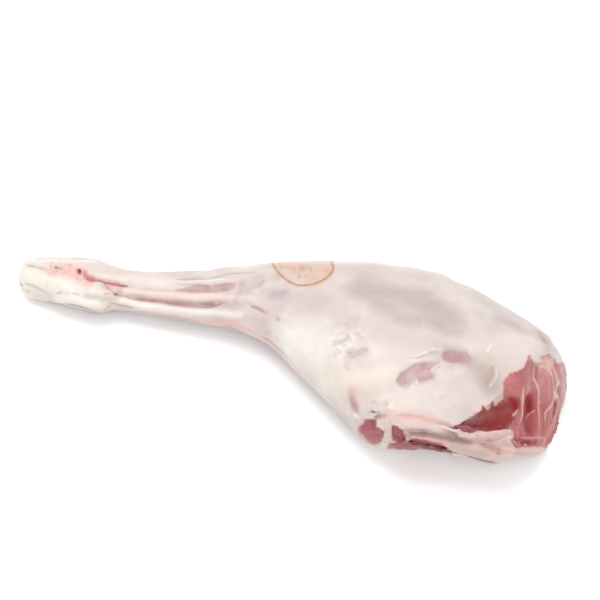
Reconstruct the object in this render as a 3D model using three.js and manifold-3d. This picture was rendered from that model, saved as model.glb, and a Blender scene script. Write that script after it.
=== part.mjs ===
// A raw leg of lamb, lying on its outer side with the inner side of the thigh up.
// Millimetres, +Z up. The hock points along -X, the rump along +X, and -Y is the side of the pelvis.
import * as THREE from 'three';
import { mergeVertices } from 'three/addons/utils/BufferGeometryUtils.js';
import Module from 'manifold-3d';

const wasm = await Module();
wasm.setup();

// Driving dimensions: the leg
const SEGMENTS = 42;
const TOP_CROWDING = 0.32;
const HOCK_ROUNDING = 10;
const RUMP_ROUNDING = 10;
const GAP = 0.35;

// Landmarks along the leg, measured from the tip of the hock. far and near are the edges in plan, top
// and under the heights of the upper and lower surface, square and belly the fullness of either half.
const LANDMARKS = [
  { at: 0, far: 26, near: -1, top: 24, under: 1, square: 2.3, belly: 2.2 },
  { at: 18, far: 29, near: -7, top: 27, under: 0, square: 2.2, belly: 2.2 },
  { at: 48, far: 28, near: -17, top: 30, under: 0, square: 2.1, belly: 2.1 },
  { at: 62, far: 26, near: -22, top: 30, under: 0, square: 2.1, belly: 2.1 },
  { at: 76, far: 20, near: -18, top: 28, under: 2, square: 2.0, belly: 2.0 },
  { at: 94, far: 14.5, near: -21, top: 28, under: 5, square: 2.0, belly: 2.0 },
  { at: 142, far: 12.2, near: -33, top: 34, under: 5, square: 2.0, belly: 2.0 },
  { at: 168, far: 12.5, near: -40, top: 41, under: 4, square: 2.0, belly: 2.0 },
  { at: 194, far: 12, near: -54, top: 49, under: 3, square: 2.0, belly: 2.0 },
  { at: 221, far: 10, near: -85, top: 60, under: 1, square: 2.1, belly: 2.1 },
  { at: 247, far: 5, near: -118, top: 71, under: -1, square: 2.1, belly: 2.1 },
  { at: 271, far: 1, near: -146, top: 78, under: -2, square: 2.2, belly: 2.2 },
  { at: 318, far: -12.5, near: -153, top: 83, under: -3, square: 2.3, belly: 2.45 },
  { at: 370, far: -43, near: -158, top: 79, under: -3, square: 2.3, belly: 1.75 },
  { at: 412, far: -80, near: -162, top: 70, under: -2, square: 2.3, belly: 1.75 },
  { at: 440, far: -103, near: -158, top: 62, under: -1, square: 2.2, belly: 1.75 },
];
const LAST = LANDMARKS[LANDMARKS.length - 1].at;

// Stretches of the leg and the spacing of the rings on each: the bony end has the finest forms.
const RING_SPACING = [
  { until: 34, step: 3.4 },
  { until: 100, step: 2.8 },
  { until: 235, step: 4.1 },
  { until: LAST, step: 5.6 },
];

// Ridges and hollows of the skin. Each follows a line of [distance from the hock, turn], where the turn
// round the section is 0 at the far edge, 90 on top and 180 at the near edge. lift is the height of the
// ridge, or below zero the depth of the hollow, and width is half its breadth. flat is the share of the
// breadth that stays level in the middle.
const RELIEF = {
  hockSlit: { line: [[10, 79], [28, 90]], width: 4, lift: -2.2 },
  hockLobe: { line: [[10, 118], [40, 128]], width: 10, lift: 1.6 },
  hockHollow: { line: [[32, 88], [52, 92]], width: 8, lift: -2.6 },
  hockHole: { line: [[51, 89], [52, 92]], width: 4.5, lift: -3 },
  ankleCrack: { line: [[55, 97], [68, 102], [72, 108], [90, 101]], width: 6, lift: -3.4 },
  ankleBranch: { line: [[72, 110], [75, 122], [80, 131]], width: 5.5, lift: -2.4 },
  heelBone: { line: [[34, 163], [52, 155], [68, 155]], width: 12, lift: 3.2 },
  heelHollow: { line: [[57, 141], [72, 143]], width: 6, lift: -2 },
  heelUnderCut: { line: [[30, 196], [60, 186]], width: 8, lift: -3 },
  shankGroove: { line: [[80, 131], [107, 135], [131, 137], [146, 138], [163, 127]], width: 6, lift: -3.5 },
  footTendon: { line: [[88, 119], [107, 117], [154, 117], [186, 112]], width: 6, lift: 2 },
  heelTendon: { line: [[74, 156], [107, 154], [146, 152], [177, 144]], width: 8, lift: 2.6 },
  shinWindow: { line: [[122, 96], [172, 95]], width: 6.5, lift: -2, flat: 0.3 },
  shinRidge: { line: [[92, 78], [124, 78], [157, 72]], width: 7, lift: 1.2 },
  calfBulge: { line: [[180, 140], [200, 148], [215, 152]], width: 20, lift: 2.5 },
  kneeBulge: { line: [[205, 70], [232, 62]], width: 26, lift: 2 },
  kneeDip: { line: [[192, 104], [206, 108]], width: 13, lift: -2 },
  thighFatBulge: { line: [[212, 118], [246, 122]], width: 30, lift: 2.2 },
  thighValley: { line: [[250, 94], [268, 88], [310, 92], [332, 98]], width: 17, lift: -2.4 },
  thighFatBand: { line: [[323, 36], [341, 64], [347, 88], [352, 102]], width: 15, lift: 1.6 },
  windowHollow: { line: [[292, 124], [308, 115], [332, 106]], width: 10, lift: -1.6, flat: 0.3 },
  fellCrease: { line: [[250, 112], [264, 103]], width: 6, lift: -1.4 },
  fellDimple: { line: [[270, 148], [272, 151]], width: 9, lift: -4 },
  fellFold: { line: [[254, 170], [260, 163], [268, 156]], width: 5, lift: 2 },
  tornPatch: { line: [[268, 170], [273, 182]], width: 16, lift: -3, flat: 0.3 },
  tornPatchSmall: { line: [[288, 165], [289, 172]], width: 9, lift: -2.4 },
  patchBridge: { line: [[279, 158], [281, 182]], width: 6, lift: 2.4 },
  fatLedge: { line: [[284, 150], [310, 152], [332, 154]], width: 8, lift: 2 },
  underBoneHollow: { line: [[290, 196], [308, 200], [330, 216]], width: 13, lift: -5 },
};

// Slow swells of the whole skin: waves along the leg and round it.
const SWELLS = [
  { along: 61, round: 3, start: 0.7, height: 0.55 },
  { along: 37, round: 5, start: 2.1, height: 0.4 },
  { along: 23, round: 4, start: 4.4, height: 0.3 },
];
const SWELL_FADE = 90;

// The butcher's cut through the rump: a plane, and on it the muscles as swells and hollows. Its across
// direction is level and points to the far side, and its upward direction rises.
const CUT_NORMAL = new THREE.Vector3(0.761, -0.437, 0.48).normalize();
const CUT_CENTRE = new THREE.Vector3(384, -112, 46.5);
const CUT_STEP = 4;
const CUT_REACH = { left: -96, right: 66, low: -72, high: 72, back: 90 };
const CUT_SWELLS = [
  { at: [14, 20], size: [30, 26], height: 10 },
  { at: [-14, 20], size: [12, 14], height: 2.5 },
  { at: [-24, -24], size: [16, 14], height: 3 },
  { at: [6, -26], size: [12, 18], height: 2.5 },
  { at: [-9, -3], size: [6, 8], height: -4.5 },
  { at: [-18, -15], size: [5, 6], height: -4 },
  { at: [33, -28], size: [13, 18], height: 2.6 },
  { at: [20, -46], size: [16, 16], height: -3 },
  { at: [41, 10], size: [9, 12], height: -4.5 },
  { at: [-46, 7], size: [9, 7], height: 3 },
];
const SEAM_DEPTH = 1.8;
const SEAM_WIDTH = 5;
const MUSCLE_SEAMS = [
  [[-7, 16], [-12, 6], [-17, 0], [-26, -7]],
  [[11, 24], [7, 9], [6, -4], [3, -13], [-10, -31]],
  [[19, 22], [26, -5], [24, -20], [10, -38]],
];

// The trough where the fell is torn back from the red meat above the pelvic bone. It starts on the cut
// face at from, deepens by slope towards the near side, and gets narrower and higher up to its tip,
// where it runs out over the length of fade.
const TROUGH = {
  from: -18,
  slope: 0.72,
  startMiddle: 19,
  tipMiddle: 24,
  halfWidth: 7,
  tipShare: 0.4,
  edge: 6,
  tip: -72,
  fade: [-12, 4],
};

// The bone of the pelvis, split lengthways and set in the near side: middle and half sizes of its
// section at stations along the leg.
const AITCH = [
  { at: 287, y: -145, z: 49.5, deep: 3, high: 2.5 },
  { at: 293, y: -145, z: 49.5, deep: 6.5, high: 4 },
  { at: 304, y: -146, z: 48.5, deep: 8, high: 5 },
  { at: 320, y: -147, z: 46, deep: 8.5, high: 7.3 },
  { at: 338, y: -150.5, z: 41, deep: 9.5, high: 10.5 },
  { at: 352, y: -152.5, z: 37.5, deep: 9.5, high: 12 },
  { at: 361, y: -151.5, z: 36.5, deep: 8.5, high: 10.5 },
  { at: 367, y: -150.5, z: 36, deep: 4.5, high: 6 },
];
const POLE_STEP = 1;
const AITCH_RINGS = 26;
const AITCH_SEGMENTS = 20;
const AITCH_FULLNESS = 2.6;

// The bone that shows at the hock: all of the tip, narrowing to a stem inside the shank. Before and
// beyond are the reach of its outline past the tip and past the radius of the leg, and wave is how far
// the edge of the skin wanders round it.
const HOCK_BONE = {
  before: 5,
  shows: 21,
  wave: 2.5,
  waveStart: 1,
  shoulder: 7,
  stem: 8.5,
  stemEnd: 6,
  end: 74,
  beyond: 40,
  y: [12, 2],
  z: [14.5, 16],
  rings: 16,
  segments: 24,
};

// Points of a box closer than this are one corner.
const SAME_POINT = 1e-4;

const clamp01 = (v) => Math.min(1, Math.max(0, v));
const smooth = (low, high, v) => {
  const t = clamp01((v - low) / (high - low));
  return t * t * (3 - 2 * t);
};
const mix = (a, b, t) => a + (b - a) * t;

// A smooth curve through the values of one key of a list of stations.
function through(stations, key) {
  const xs = stations.map((mark) => mark.at);
  const ys = stations.map((mark) => mark[key]);
  const slope = ys.map((_, i) => {
    const a = Math.max(0, i - 1);
    const b = Math.min(xs.length - 1, i + 1);
    return (ys[b] - ys[a]) / (xs[b] - xs[a]);
  });
  return (x) => {
    let i = 0;
    while (i < xs.length - 2 && x > xs[i + 1]) i += 1;
    const span = xs[i + 1] - xs[i];
    const t = clamp01((x - xs[i]) / span);
    const t2 = t * t;
    const t3 = t2 * t;
    return (
      (2 * t3 - 3 * t2 + 1) * ys[i] +
      (t3 - 2 * t2 + t) * span * slope[i] +
      (3 * t2 - 2 * t3) * ys[i + 1] +
      (t3 - t2) * span * slope[i + 1]
    );
  };
}

// A closed skin over rings of points: each ring is a function of an angle, and a pole closes each end.
function skinOver(ringAt, count, segments, startPole, endPole) {
  const positions = [startPole.toArray()];
  for (let i = 0; i < count; i += 1)
    for (let j = 0; j < segments; j += 1)
      positions.push(ringAt(i, (j / segments) * Math.PI * 2).toArray());
  positions.push(endPole.toArray());
  const index = [];
  const at = (i, j) => 1 + i * segments + (j % segments);
  const last = positions.length - 1;
  for (let j = 0; j < segments; j += 1) {
    index.push(0, at(0, j + 1), at(0, j));
    for (let i = 0; i < count - 1; i += 1) {
      index.push(at(i, j), at(i, j + 1), at(i + 1, j));
      index.push(at(i, j + 1), at(i + 1, j + 1), at(i + 1, j));
    }
    index.push(at(count - 1, j), at(count - 1, j + 1), last);
  }
  const geometry = new THREE.BufferGeometry();
  geometry.setAttribute('position', new THREE.Float32BufferAttribute(positions.flat(), 3));
  geometry.setIndex(index);
  return geometry;
}

// The plain skin of the leg, as sections along it
const farEdge = through(LANDMARKS, 'far');
const nearEdge = through(LANDMARKS, 'near');
const topHeight = through(LANDMARKS, 'top');
const underHeight = through(LANDMARKS, 'under');
const upperFullness = through(LANDMARKS, 'square');
const lowerFullness = through(LANDMARKS, 'belly');

// How far a section has opened, from 0 at either end of the leg to 1 past the rounding.
function opening(x) {
  const fromHock = clamp01(x / HOCK_ROUNDING);
  const fromRump = clamp01((LAST - x) / RUMP_ROUNDING);
  return Math.sqrt(1 - (1 - fromHock) ** 2) * Math.sqrt(1 - (1 - fromRump) ** 2);
}

function section(x) {
  const open = opening(x);
  return {
    middle: (farEdge(x) + nearEdge(x)) / 2,
    level: (topHeight(x) + underHeight(x)) / 2,
    halfWidth: ((farEdge(x) - nearEdge(x)) / 2) * open,
    halfHeight: ((topHeight(x) - underHeight(x)) / 2) * open,
  };
}

const signedPower = (v, p) => Math.sign(v) * Math.abs(v) ** p;

function skinPoint(x, angle) {
  const s = section(x);
  const power = 2 / (Math.sin(angle) > 0 ? upperFullness(x) : lowerFullness(x));
  return new THREE.Vector3(
    x,
    s.middle + s.halfWidth * signedPower(Math.cos(angle), power),
    s.level + s.halfHeight * signedPower(Math.sin(angle), power),
  );
}

function skinNormal(x, angle) {
  const reach = 0.5;
  const turn = 0.02;
  const along = skinPoint(Math.min(LAST, x + reach), angle).sub(skinPoint(Math.max(0, x - reach), angle));
  const round = skinPoint(x, angle + turn).sub(skinPoint(x, angle - turn));
  return round.cross(along).normalize();
}

// Relief of the skin
const strokes = Object.values(RELIEF).map((form) => ({
  ...form,
  points: form.line.map(([x, turn]) => skinPoint(x, THREE.MathUtils.degToRad(turn))),
}));

function distanceToLine(point, points) {
  const stretch = new THREE.Line3();
  const nearest = new THREE.Vector3();
  let best = Infinity;
  for (let i = 0; i < points.length - 1; i += 1) {
    stretch.set(points[i], points[i + 1]).closestPointToPoint(point, true, nearest);
    best = Math.min(best, nearest.distanceTo(point));
  }
  return best;
}

function reliefAt(point, angle) {
  let lift = 0;
  for (const form of strokes) {
    const away = distanceToLine(point, form.points) / form.width;
    lift += form.lift * (1 - smooth(form.flat ?? 0, 1, away));
  }
  const fade = smooth(0, SWELL_FADE, point.x);
  for (const wave of SWELLS) {
    const along = Math.sin((point.x / wave.along) * Math.PI * 2 + wave.start);
    lift += fade * wave.height * along * Math.cos(wave.round * angle);
  }
  return lift;
}

function ringPlaces() {
  const places = [];
  let x = 0;
  for (const stretch of RING_SPACING) {
    while (x + stretch.step < stretch.until) {
      x += x < HOCK_ROUNDING ? stretch.step / 2 : stretch.step;
      places.push(x);
    }
  }
  return places;
}

function legSkin() {
  const places = ringPlaces();
  const pole = (x) => new THREE.Vector3(x, section(x).middle, section(x).level);
  const ringAt = (i, step) => {
    const angle = step + TOP_CROWDING * Math.cos(step);
    const point = skinPoint(places[i], angle);
    point.addScaledVector(skinNormal(places[i], angle), reliefAt(point, angle));
    point.z = Math.max(0, point.z);
    return point;
  };
  return skinOver(ringAt, places.length, SEGMENTS, pole(0), pole(LAST));
}

// The butcher's cut
const cutAcross = new THREE.Vector3(0, 0, 1).cross(CUT_NORMAL).normalize();
const cutUp = CUT_NORMAL.clone().cross(cutAcross);
const swellAt = (swell, u, v) => {
  const across = (u - swell.at[0]) / swell.size[0];
  const up = (v - swell.at[1]) / swell.size[1];
  return swell.height * Math.exp(-across * across - up * up);
};

function troughDepth(u, v) {
  const deep = Math.max(0, TROUGH.from - u) * TROUGH.slope;
  const narrowing = smooth(TROUGH.tip, TROUGH.from, u);
  const reach = TROUGH.halfWidth * mix(TROUGH.tipShare, 1, narrowing);
  const away = Math.abs(v - mix(TROUGH.tipMiddle, TROUGH.startMiddle, narrowing));
  const runOut = smooth(TROUGH.tip + TROUGH.fade[0], TROUGH.tip + TROUGH.fade[1], u);
  return deep * (1 - smooth(reach, reach + TROUGH.edge, away)) * runOut;
}

function cutHeight(u, v) {
  let height = 0;
  for (const swell of CUT_SWELLS) height += swellAt(swell, u, v);
  const here = new THREE.Vector3(u, v, 0);
  for (const seam of MUSCLE_SEAMS) {
    const points = seam.map(([a, b]) => new THREE.Vector3(a, b, 0));
    height -= SEAM_DEPTH * (1 - smooth(0, SEAM_WIDTH, distanceToLine(here, points)));
  }
  return height - troughDepth(u, v);
}

// The block of air beyond the cut face, as a closed box with one uneven side.
function beyondTheCut() {
  const columns = Math.round((CUT_REACH.right - CUT_REACH.left) / CUT_STEP);
  const rows = Math.round((CUT_REACH.high - CUT_REACH.low) / CUT_STEP);
  const wide = columns * CUT_STEP;
  const tall = rows * CUT_STEP;
  const box = new THREE.BoxGeometry(wide, tall, CUT_REACH.back, columns, rows, 1);
  const p = box.getAttribute('position');
  for (let i = 0; i < p.count; i += 1) {
    const u = p.getX(i) + CUT_REACH.left + wide / 2;
    const v = p.getY(i) + CUT_REACH.low + tall / 2;
    const onFace = p.getZ(i) < 0;
    const height = onFace ? cutHeight(u, v) : CUT_REACH.back;
    const place = CUT_CENTRE.clone()
      .addScaledVector(cutAcross, u)
      .addScaledVector(cutUp, v)
      .addScaledVector(CUT_NORMAL, height);
    p.setXYZ(i, place.x, place.y, place.z);
  }
  return box;
}

// The bones
function aitchSkin(grow) {
  const first = AITCH[0].at - grow;
  const last = AITCH[AITCH.length - 1].at + grow;
  const value = Object.fromEntries(['y', 'z', 'deep', 'high'].map((key) => [key, through(AITCH, key)]));
  const ringAt = (i, angle) => {
    const x = mix(first, last, i / (AITCH_RINGS - 1));
    const power = 2 / AITCH_FULLNESS;
    return new THREE.Vector3(
      x,
      value.y(x) + (value.deep(x) + grow) * signedPower(Math.cos(angle), power),
      value.z(x) + (value.high(x) + grow) * signedPower(Math.sin(angle), power),
    );
  };
  const startPole = new THREE.Vector3(first - POLE_STEP, value.y(first), value.z(first));
  const endPole = new THREE.Vector3(last + POLE_STEP, value.y(last), value.z(last));
  return skinOver(ringAt, AITCH_RINGS, AITCH_SEGMENTS, startPole, endPole);
}

// The room that the hock bone takes: wider than the leg where the bone is bare, then a shoulder and a stem.
function hockPlug(grow) {
  const shoulder = HOCK_BONE.shows + grow;
  const end = HOCK_BONE.end + grow;
  const stations = [
    { at: -HOCK_BONE.before, r: HOCK_BONE.beyond },
    { at: shoulder, r: HOCK_BONE.beyond },
    { at: shoulder + HOCK_BONE.shoulder, r: HOCK_BONE.stem + grow },
    { at: end, r: HOCK_BONE.stemEnd + grow },
  ];
  const radius = (x) => {
    const i = stations.findIndex((s, k) => k > 0 && x <= s.at);
    const a = stations[i - 1];
    const b = stations[i];
    return mix(a.r, b.r, (x - a.at) / (b.at - a.at));
  };
  const middle = (x, ends) => mix(ends[0], ends[1], clamp01(x / end));
  const places = stations.map((s) => s.at);
  for (let i = 1; i < HOCK_BONE.rings; i += 1)
    places.push(mix(shoulder + HOCK_BONE.shoulder, end, i / HOCK_BONE.rings));
  places.sort((a, b) => a - b);
  const ringAt = (i, angle) => {
    const x = places[i];
    const r = radius(x);
    const wave = x === shoulder ? HOCK_BONE.wave * Math.sin(2 * angle + HOCK_BONE.waveStart) : 0;
    return new THREE.Vector3(
      x + wave,
      middle(x, HOCK_BONE.y) + r * Math.cos(angle),
      middle(x, HOCK_BONE.z) + r * Math.sin(angle),
    );
  };
  const pole = (x) => new THREE.Vector3(x, middle(x, HOCK_BONE.y), middle(x, HOCK_BONE.z));
  const startPole = pole(-HOCK_BONE.before - POLE_STEP);
  return skinOver(ringAt, places.length, HOCK_BONE.segments, startPole, pole(end + POLE_STEP));
}

// Cutting and joining
function toSolid(geometry) {
  const bare = geometry.clone();
  bare.deleteAttribute('normal');
  bare.deleteAttribute('uv');
  const merged = mergeVertices(bare, SAME_POINT);
  return new wasm.Manifold(
    new wasm.Mesh({
      numProp: 3,
      vertProperties: new Float32Array(merged.getAttribute('position').array),
      triVerts: new Uint32Array(merged.index.array),
    }),
  );
}

function toGeometry(solid) {
  const mesh = solid.getMesh();
  const geometry = new THREE.BufferGeometry();
  geometry.setAttribute('position', new THREE.BufferAttribute(mesh.vertProperties, 3));
  geometry.setIndex(new THREE.BufferAttribute(mesh.triVerts, 1));
  geometry.computeVertexNormals();
  return geometry;
}

function named(name, solid, color, roughness) {
  const material = new THREE.MeshStandardMaterial({ color, roughness, metalness: 0 });
  const mesh = new THREE.Mesh(toGeometry(solid), material);
  mesh.name = name;
  return mesh;
}

const whole = toSolid(legSkin()).subtract(toSolid(beyondTheCut()));
const meat = whole.subtract(toSolid(aitchSkin(GAP))).subtract(toSolid(hockPlug(GAP)));
const hockBone = whole.intersect(toSolid(hockPlug(0)));
const aitchBone = toSolid(aitchSkin(0));

const leg = new THREE.Group();
leg.add(named('leg', meat, 0xe9dad4, 0.42));
leg.add(named('hock_bone', hockBone, 0xf0e4d6, 0.4));
leg.add(named('aitch_bone', aitchBone, 0xdfc4bf, 0.45));

// The origin is under the middle of the leg, on the surface that it lies on.
const size = new THREE.Box3().setFromObject(leg);
const middle = size.getCenter(new THREE.Vector3());
leg.position.set(-middle.x, -middle.y, -size.min.z);

export default leg;
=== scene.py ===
import math

import bpy
import numpy as np
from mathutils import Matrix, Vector, noise
from mathutils.bvhtree import BVHTree
from mathutils.kdtree import KDTree


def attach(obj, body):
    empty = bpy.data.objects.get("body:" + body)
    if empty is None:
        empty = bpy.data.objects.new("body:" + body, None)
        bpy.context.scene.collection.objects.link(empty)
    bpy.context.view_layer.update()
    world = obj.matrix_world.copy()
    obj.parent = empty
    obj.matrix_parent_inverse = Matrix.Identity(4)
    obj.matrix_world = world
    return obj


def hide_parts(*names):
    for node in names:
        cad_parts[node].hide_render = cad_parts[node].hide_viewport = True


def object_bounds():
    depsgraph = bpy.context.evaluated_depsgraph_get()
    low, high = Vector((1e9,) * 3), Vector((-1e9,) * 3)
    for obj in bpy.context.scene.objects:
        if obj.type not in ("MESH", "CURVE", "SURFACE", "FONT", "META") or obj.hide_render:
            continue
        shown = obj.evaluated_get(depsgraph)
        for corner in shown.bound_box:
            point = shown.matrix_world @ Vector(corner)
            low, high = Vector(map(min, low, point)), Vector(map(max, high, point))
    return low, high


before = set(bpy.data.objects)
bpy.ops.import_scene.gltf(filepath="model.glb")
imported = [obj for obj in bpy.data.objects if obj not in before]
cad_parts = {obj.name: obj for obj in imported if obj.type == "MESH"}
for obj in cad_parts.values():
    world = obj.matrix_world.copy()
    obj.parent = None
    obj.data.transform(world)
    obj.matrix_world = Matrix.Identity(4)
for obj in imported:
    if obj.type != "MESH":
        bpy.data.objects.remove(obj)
box_at_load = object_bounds()

# %% [markdown]
# A raw leg of lamb lies on its side on a white table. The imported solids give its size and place.
# The three large pieces below start from copies of them, so the looks can't drift away from the
# part. The solids themselves stay untouched and are hidden by the pieces that stand for them.
# Lengths on the leg are given in millimetres, those of the camera, the lamps and the table in
# metres, and places in the picture are counted in its dots.

# %% Size of the frame
MM = 0.001
size = [round((high - low) / MM, 1) for low, high in zip(*box_at_load)]
print("the frame is", size, "mm and has the solids", sorted(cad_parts))
bpy.ops.object.select_all(action="DESELECT")

# %% [markdown]
# The camera comes first, because what is drawn on the leg is named by where the picture shows it.
# A place in the picture is a ray from the camera, and the ray meets the leg in one point.
# It could also be set up last, with every detail given in millimetres along the leg. Then each
# line would have to be measured twice, once in the picture and once on the leg.

# %% The camera that the picture was taken with
PICTURE_WIDTH = 600
LENS = 70
SENSOR = 36
TILT = math.radians(54)
LOOK_AT = Vector((0.0122, 0.04146, 0.035))
DISTANCE = 0.875
RIGHT = Vector((1, 0, 0))
AHEAD = Vector((0, math.cos(TILT), -math.sin(TILT)))
UP = Vector((0, math.sin(TILT), math.cos(TILT)))
EYE = LOOK_AT - AHEAD * DISTANCE
HALF_PICTURE = PICTURE_WIDTH / 2
HALF_WIDTH = SENSOR / 2 / LENS

camera_data = bpy.data.cameras.new("camera")
camera_data.lens = LENS
camera_data.sensor_width = SENSOR
camera = bpy.data.objects.new("camera", camera_data)
camera.location = EYE
camera.rotation_euler = (math.pi / 2 - TILT, 0, 0)
bpy.context.scene.collection.objects.link(camera)
bpy.context.scene.camera = camera
print("the camera stands at", [round(c, 3) for c in EYE])


# %% Rays through a place in the picture, and places of points in it
def ray_through(x, y):
    """Direction from the camera through a place in the picture, counted from its top left corner."""
    across = RIGHT * HALF_WIDTH * (x / HALF_PICTURE - 1)
    down = UP * HALF_WIDTH * (y / HALF_PICTURE - 1)
    return (AHEAD + across - down).normalized()


def places_in_picture(points):
    """Where the picture shows each point, and how many millimetres a picture dot covers there."""
    away = points * MM - np.array(EYE)
    depth = away @ np.array(AHEAD)
    x = HALF_PICTURE * (1 + away[:, 0] / depth / HALF_WIDTH)
    y = HALF_PICTURE * (1 - away @ np.array(UP) / depth / HALF_WIDTH)
    return np.stack([x, y], 1), depth * HALF_WIDTH / HALF_PICTURE / MM


_, dot = places_in_picture(np.array([LOOK_AT]) / MM)
print("where the camera looks, a picture dot covers", round(float(dot[0]), 2), "mm")


# %% [markdown]
# The solids are faceted and coarse. For the looks, each copy is turned into an even skin first: its
# doubled points are joined, a voxel remesh lays small squares over it, and smoothing takes the
# facets away. A subdivision surface would also round it, but it would pull in at the long thin
# triangles along the cut, so the remesh is safer.


# %% Helpers for a piece and its modifiers
def only(piece):
    """Makes a piece the only selected and the active one."""
    bpy.ops.object.select_all(action="DESELECT")
    piece.select_set(True)
    bpy.context.view_layer.objects.active = piece


def apply_modifier(piece, kind, **settings):
    """Adds a modifier to a piece and applies it."""
    only(piece)
    modifier = piece.modifiers.new("step", kind)
    for name, value in settings.items():
        setattr(modifier, name, value)
    bpy.ops.object.modifier_apply(modifier=modifier.name)


def triangles(piece):
    """How many triangles a piece has."""
    return sum(len(face.vertices) - 2 for face in piece.data.polygons)


# %% A smooth skin over copies of the solids
DOUBLED = 0.01
SMOOTHING = 0.5


def joined_copy(nodes, name):
    """Copies of one or more solids as one piece, with its doubled points merged."""
    copies = [bpy.data.objects.new(name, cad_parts[node].data.copy()) for node in nodes]
    for copy in copies:
        bpy.context.scene.collection.objects.link(copy)
    piece = copies[0]
    only(piece)
    for copy in copies:
        copy.select_set(True)
    bpy.ops.object.join()
    piece.data.materials.clear()
    bpy.ops.object.mode_set(mode="EDIT")
    bpy.ops.mesh.select_all(action="SELECT")
    bpy.ops.mesh.remove_doubles(threshold=DOUBLED * MM)
    bpy.ops.object.mode_set(mode="OBJECT")
    return piece


def skin_of(nodes, name, voxel, rounds, share=1.0):
    """A smooth copy of one or more solids with an even skin, of which a share of the faces is kept."""
    piece = joined_copy(nodes, name)
    apply_modifier(piece, "REMESH", mode="VOXEL", voxel_size=voxel * MM)
    apply_modifier(piece, "SMOOTH", factor=SMOOTHING, iterations=rounds)
    if share < 1:
        apply_modifier(piece, "DECIMATE", ratio=share)
    print(name, "has", triangles(piece), "triangles to start with")
    return piece


# %% The three large pieces
LEG_VOXEL = 1.15
LEG_ROUNDS = 14
leg = skin_of(["leg"], "leg_skin", LEG_VOXEL, LEG_ROUNDS, share=0.27)
hock = skin_of(["hock_bone"], "hock_bone_skin", voxel=0.7, rounds=10)
aitch = skin_of(["aitch_bone"], "aitch_bone_skin", voxel=0.8, rounds=8)
PIECES = [leg, hock, aitch]
area = sum(face.area for face in leg.data.polygons) / MM / MM
print("the leg's skin has an area of", round(area / 100), "square centimetres")


# %% [markdown]
# Lines are drawn as in the picture: a few corners each, in picture dots. Each line is laid on the
# skin by casting rays, so from then on it is a line in space, and how far a point is from it is a
# true distance on the meat. That makes the same line useful for relief, for colour, and for
# choosing where the mesh has to be fine. Painting by hand in a texture would be the usual way, but
# a texture is a second file, and its detail would be lost whenever the shape changes.


# %% Points of the pieces as arrays, and trees that find what a ray hits
def vertex_values(vertices, name):
    """Three numbers for each vertex, as an array."""
    values = np.empty(len(vertices) * 3, np.float32)
    vertices.foreach_get(name, values)
    return values.reshape(-1, 3).astype(float)


def points_of(piece):
    """The vertices of a piece in millimetres."""
    return vertex_values(piece.data.vertices, "co") / MM


def normals_of(piece):
    """The vertex normals of a piece."""
    return vertex_values(piece.data.vertex_normals, "vector")


def search_tree(piece):
    """A tree that finds the nearest place on a piece and what a ray meets on it."""
    return BVHTree.FromObject(piece, bpy.context.evaluated_depsgraph_get())


bpy.context.view_layer.update()
TREES = [search_tree(piece) for piece in PIECES]
print("the pieces have", [len(piece.data.vertices) for piece in PIECES], "points")


# %% Lay a line of picture places on the pieces
LAID_STEP = 1.5


def seen_at(x, y):
    """The nearest point on any piece at a place in the picture, in millimetres, or None."""
    direction = ray_through(x, y)
    hits = [tree.ray_cast(EYE, direction) for tree in TREES]
    hits = [(hit[3], hit[0]) for hit in hits if hit[0] is not None]
    return np.array(min(hits)[1]) / MM if hits else None


def laid(corners, step=LAID_STEP):
    """A line of picture places as points on the pieces, in millimetres."""
    places = [corners[0]]
    for (x0, y0), (x1, y1) in zip(corners[:-1], corners[1:]):
        parts = max(1, round(math.hypot(x1 - x0, y1 - y0) / step))
        places += [(x0 + (x1 - x0) * i / parts, y0 + (y1 - y0) * i / parts) for i in range(1, parts + 1)]
    found = [seen_at(x, y) for x, y in places]
    return np.array([p for p in found if p is not None]).reshape(-1, 3)


def smoothed(line, rounds):
    """The same line with its corners rounded and its ends kept."""
    line = line.copy()
    for _ in range(rounds):
        line[1:-1] = (line[:-2] + 2 * line[1:-1] + line[2:]) / 4
    return line


THIGH_PLACE = (400, 340)
print("the thigh is seen at", seen_at(*THIGH_PLACE).round(1), "mm")


# %% Distance of points to a laid line
FAR = 999.0
TINY = 1e-9
TAPER_BASE = 1.15
TAPER_POWER = 3


def smooth_step(value, low, high):
    """0 below low, 1 above high, and a smooth rise between them."""
    part = np.clip((value - low) / (high - low), 0, 1)
    return part * part * (3 - 2 * part)


def beside_segment(points, start, end):
    """How far along a straight piece of a line each point is, from 0 to 1, and its distance to it."""
    along = end - start
    part = np.clip((points - start) @ along / max(along @ along, TINY), 0, 1)
    return part, np.linalg.norm(points - start - part[:, None] * along, axis=1)


def distances(points, line, reach, pointed=False):
    """Distance of each point to a laid line in millimetres, or FAR where it is more than reach.
    For a pointed line, the distance grows towards its two ends, so that what it draws gets narrow."""
    result = np.full(len(points), FAR)
    if len(line) == 0:
        return result
    near = np.flatnonzero(((points > line.min(0) - reach) & (points < line.max(0) + reach)).all(1))
    close = points[near]
    best = np.linalg.norm(close - line[0], axis=1)
    place = np.zeros(len(close))
    for number, (start, end) in enumerate(zip(line[:-1], line[1:])):
        part, away = beside_segment(close, start, end)
        place = np.where(away < best, (number + part) / (len(line) - 1), place)
        best = np.minimum(best, away)
    if pointed and len(line) > 2:
        best = best / (TAPER_BASE - np.abs(2 * place - 1) ** TAPER_POWER)
    result[near] = np.where(best < reach, best, FAR)
    return result


# %% [markdown]
# An area, such as the torn hole in the skin where raw meat shows, is a closed line. What matters is
# how deep inside it a point is. The test is made in the picture, for the points that the camera
# sees. A point on the far side takes the value of the nearest seen point, less the way to it, so
# that an area runs a little over the edge of the leg instead of stopping at what the camera sees.


# %% Which points the camera sees, and which seen point is nearest to each other one
SEEN_GAP = 2.0


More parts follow.
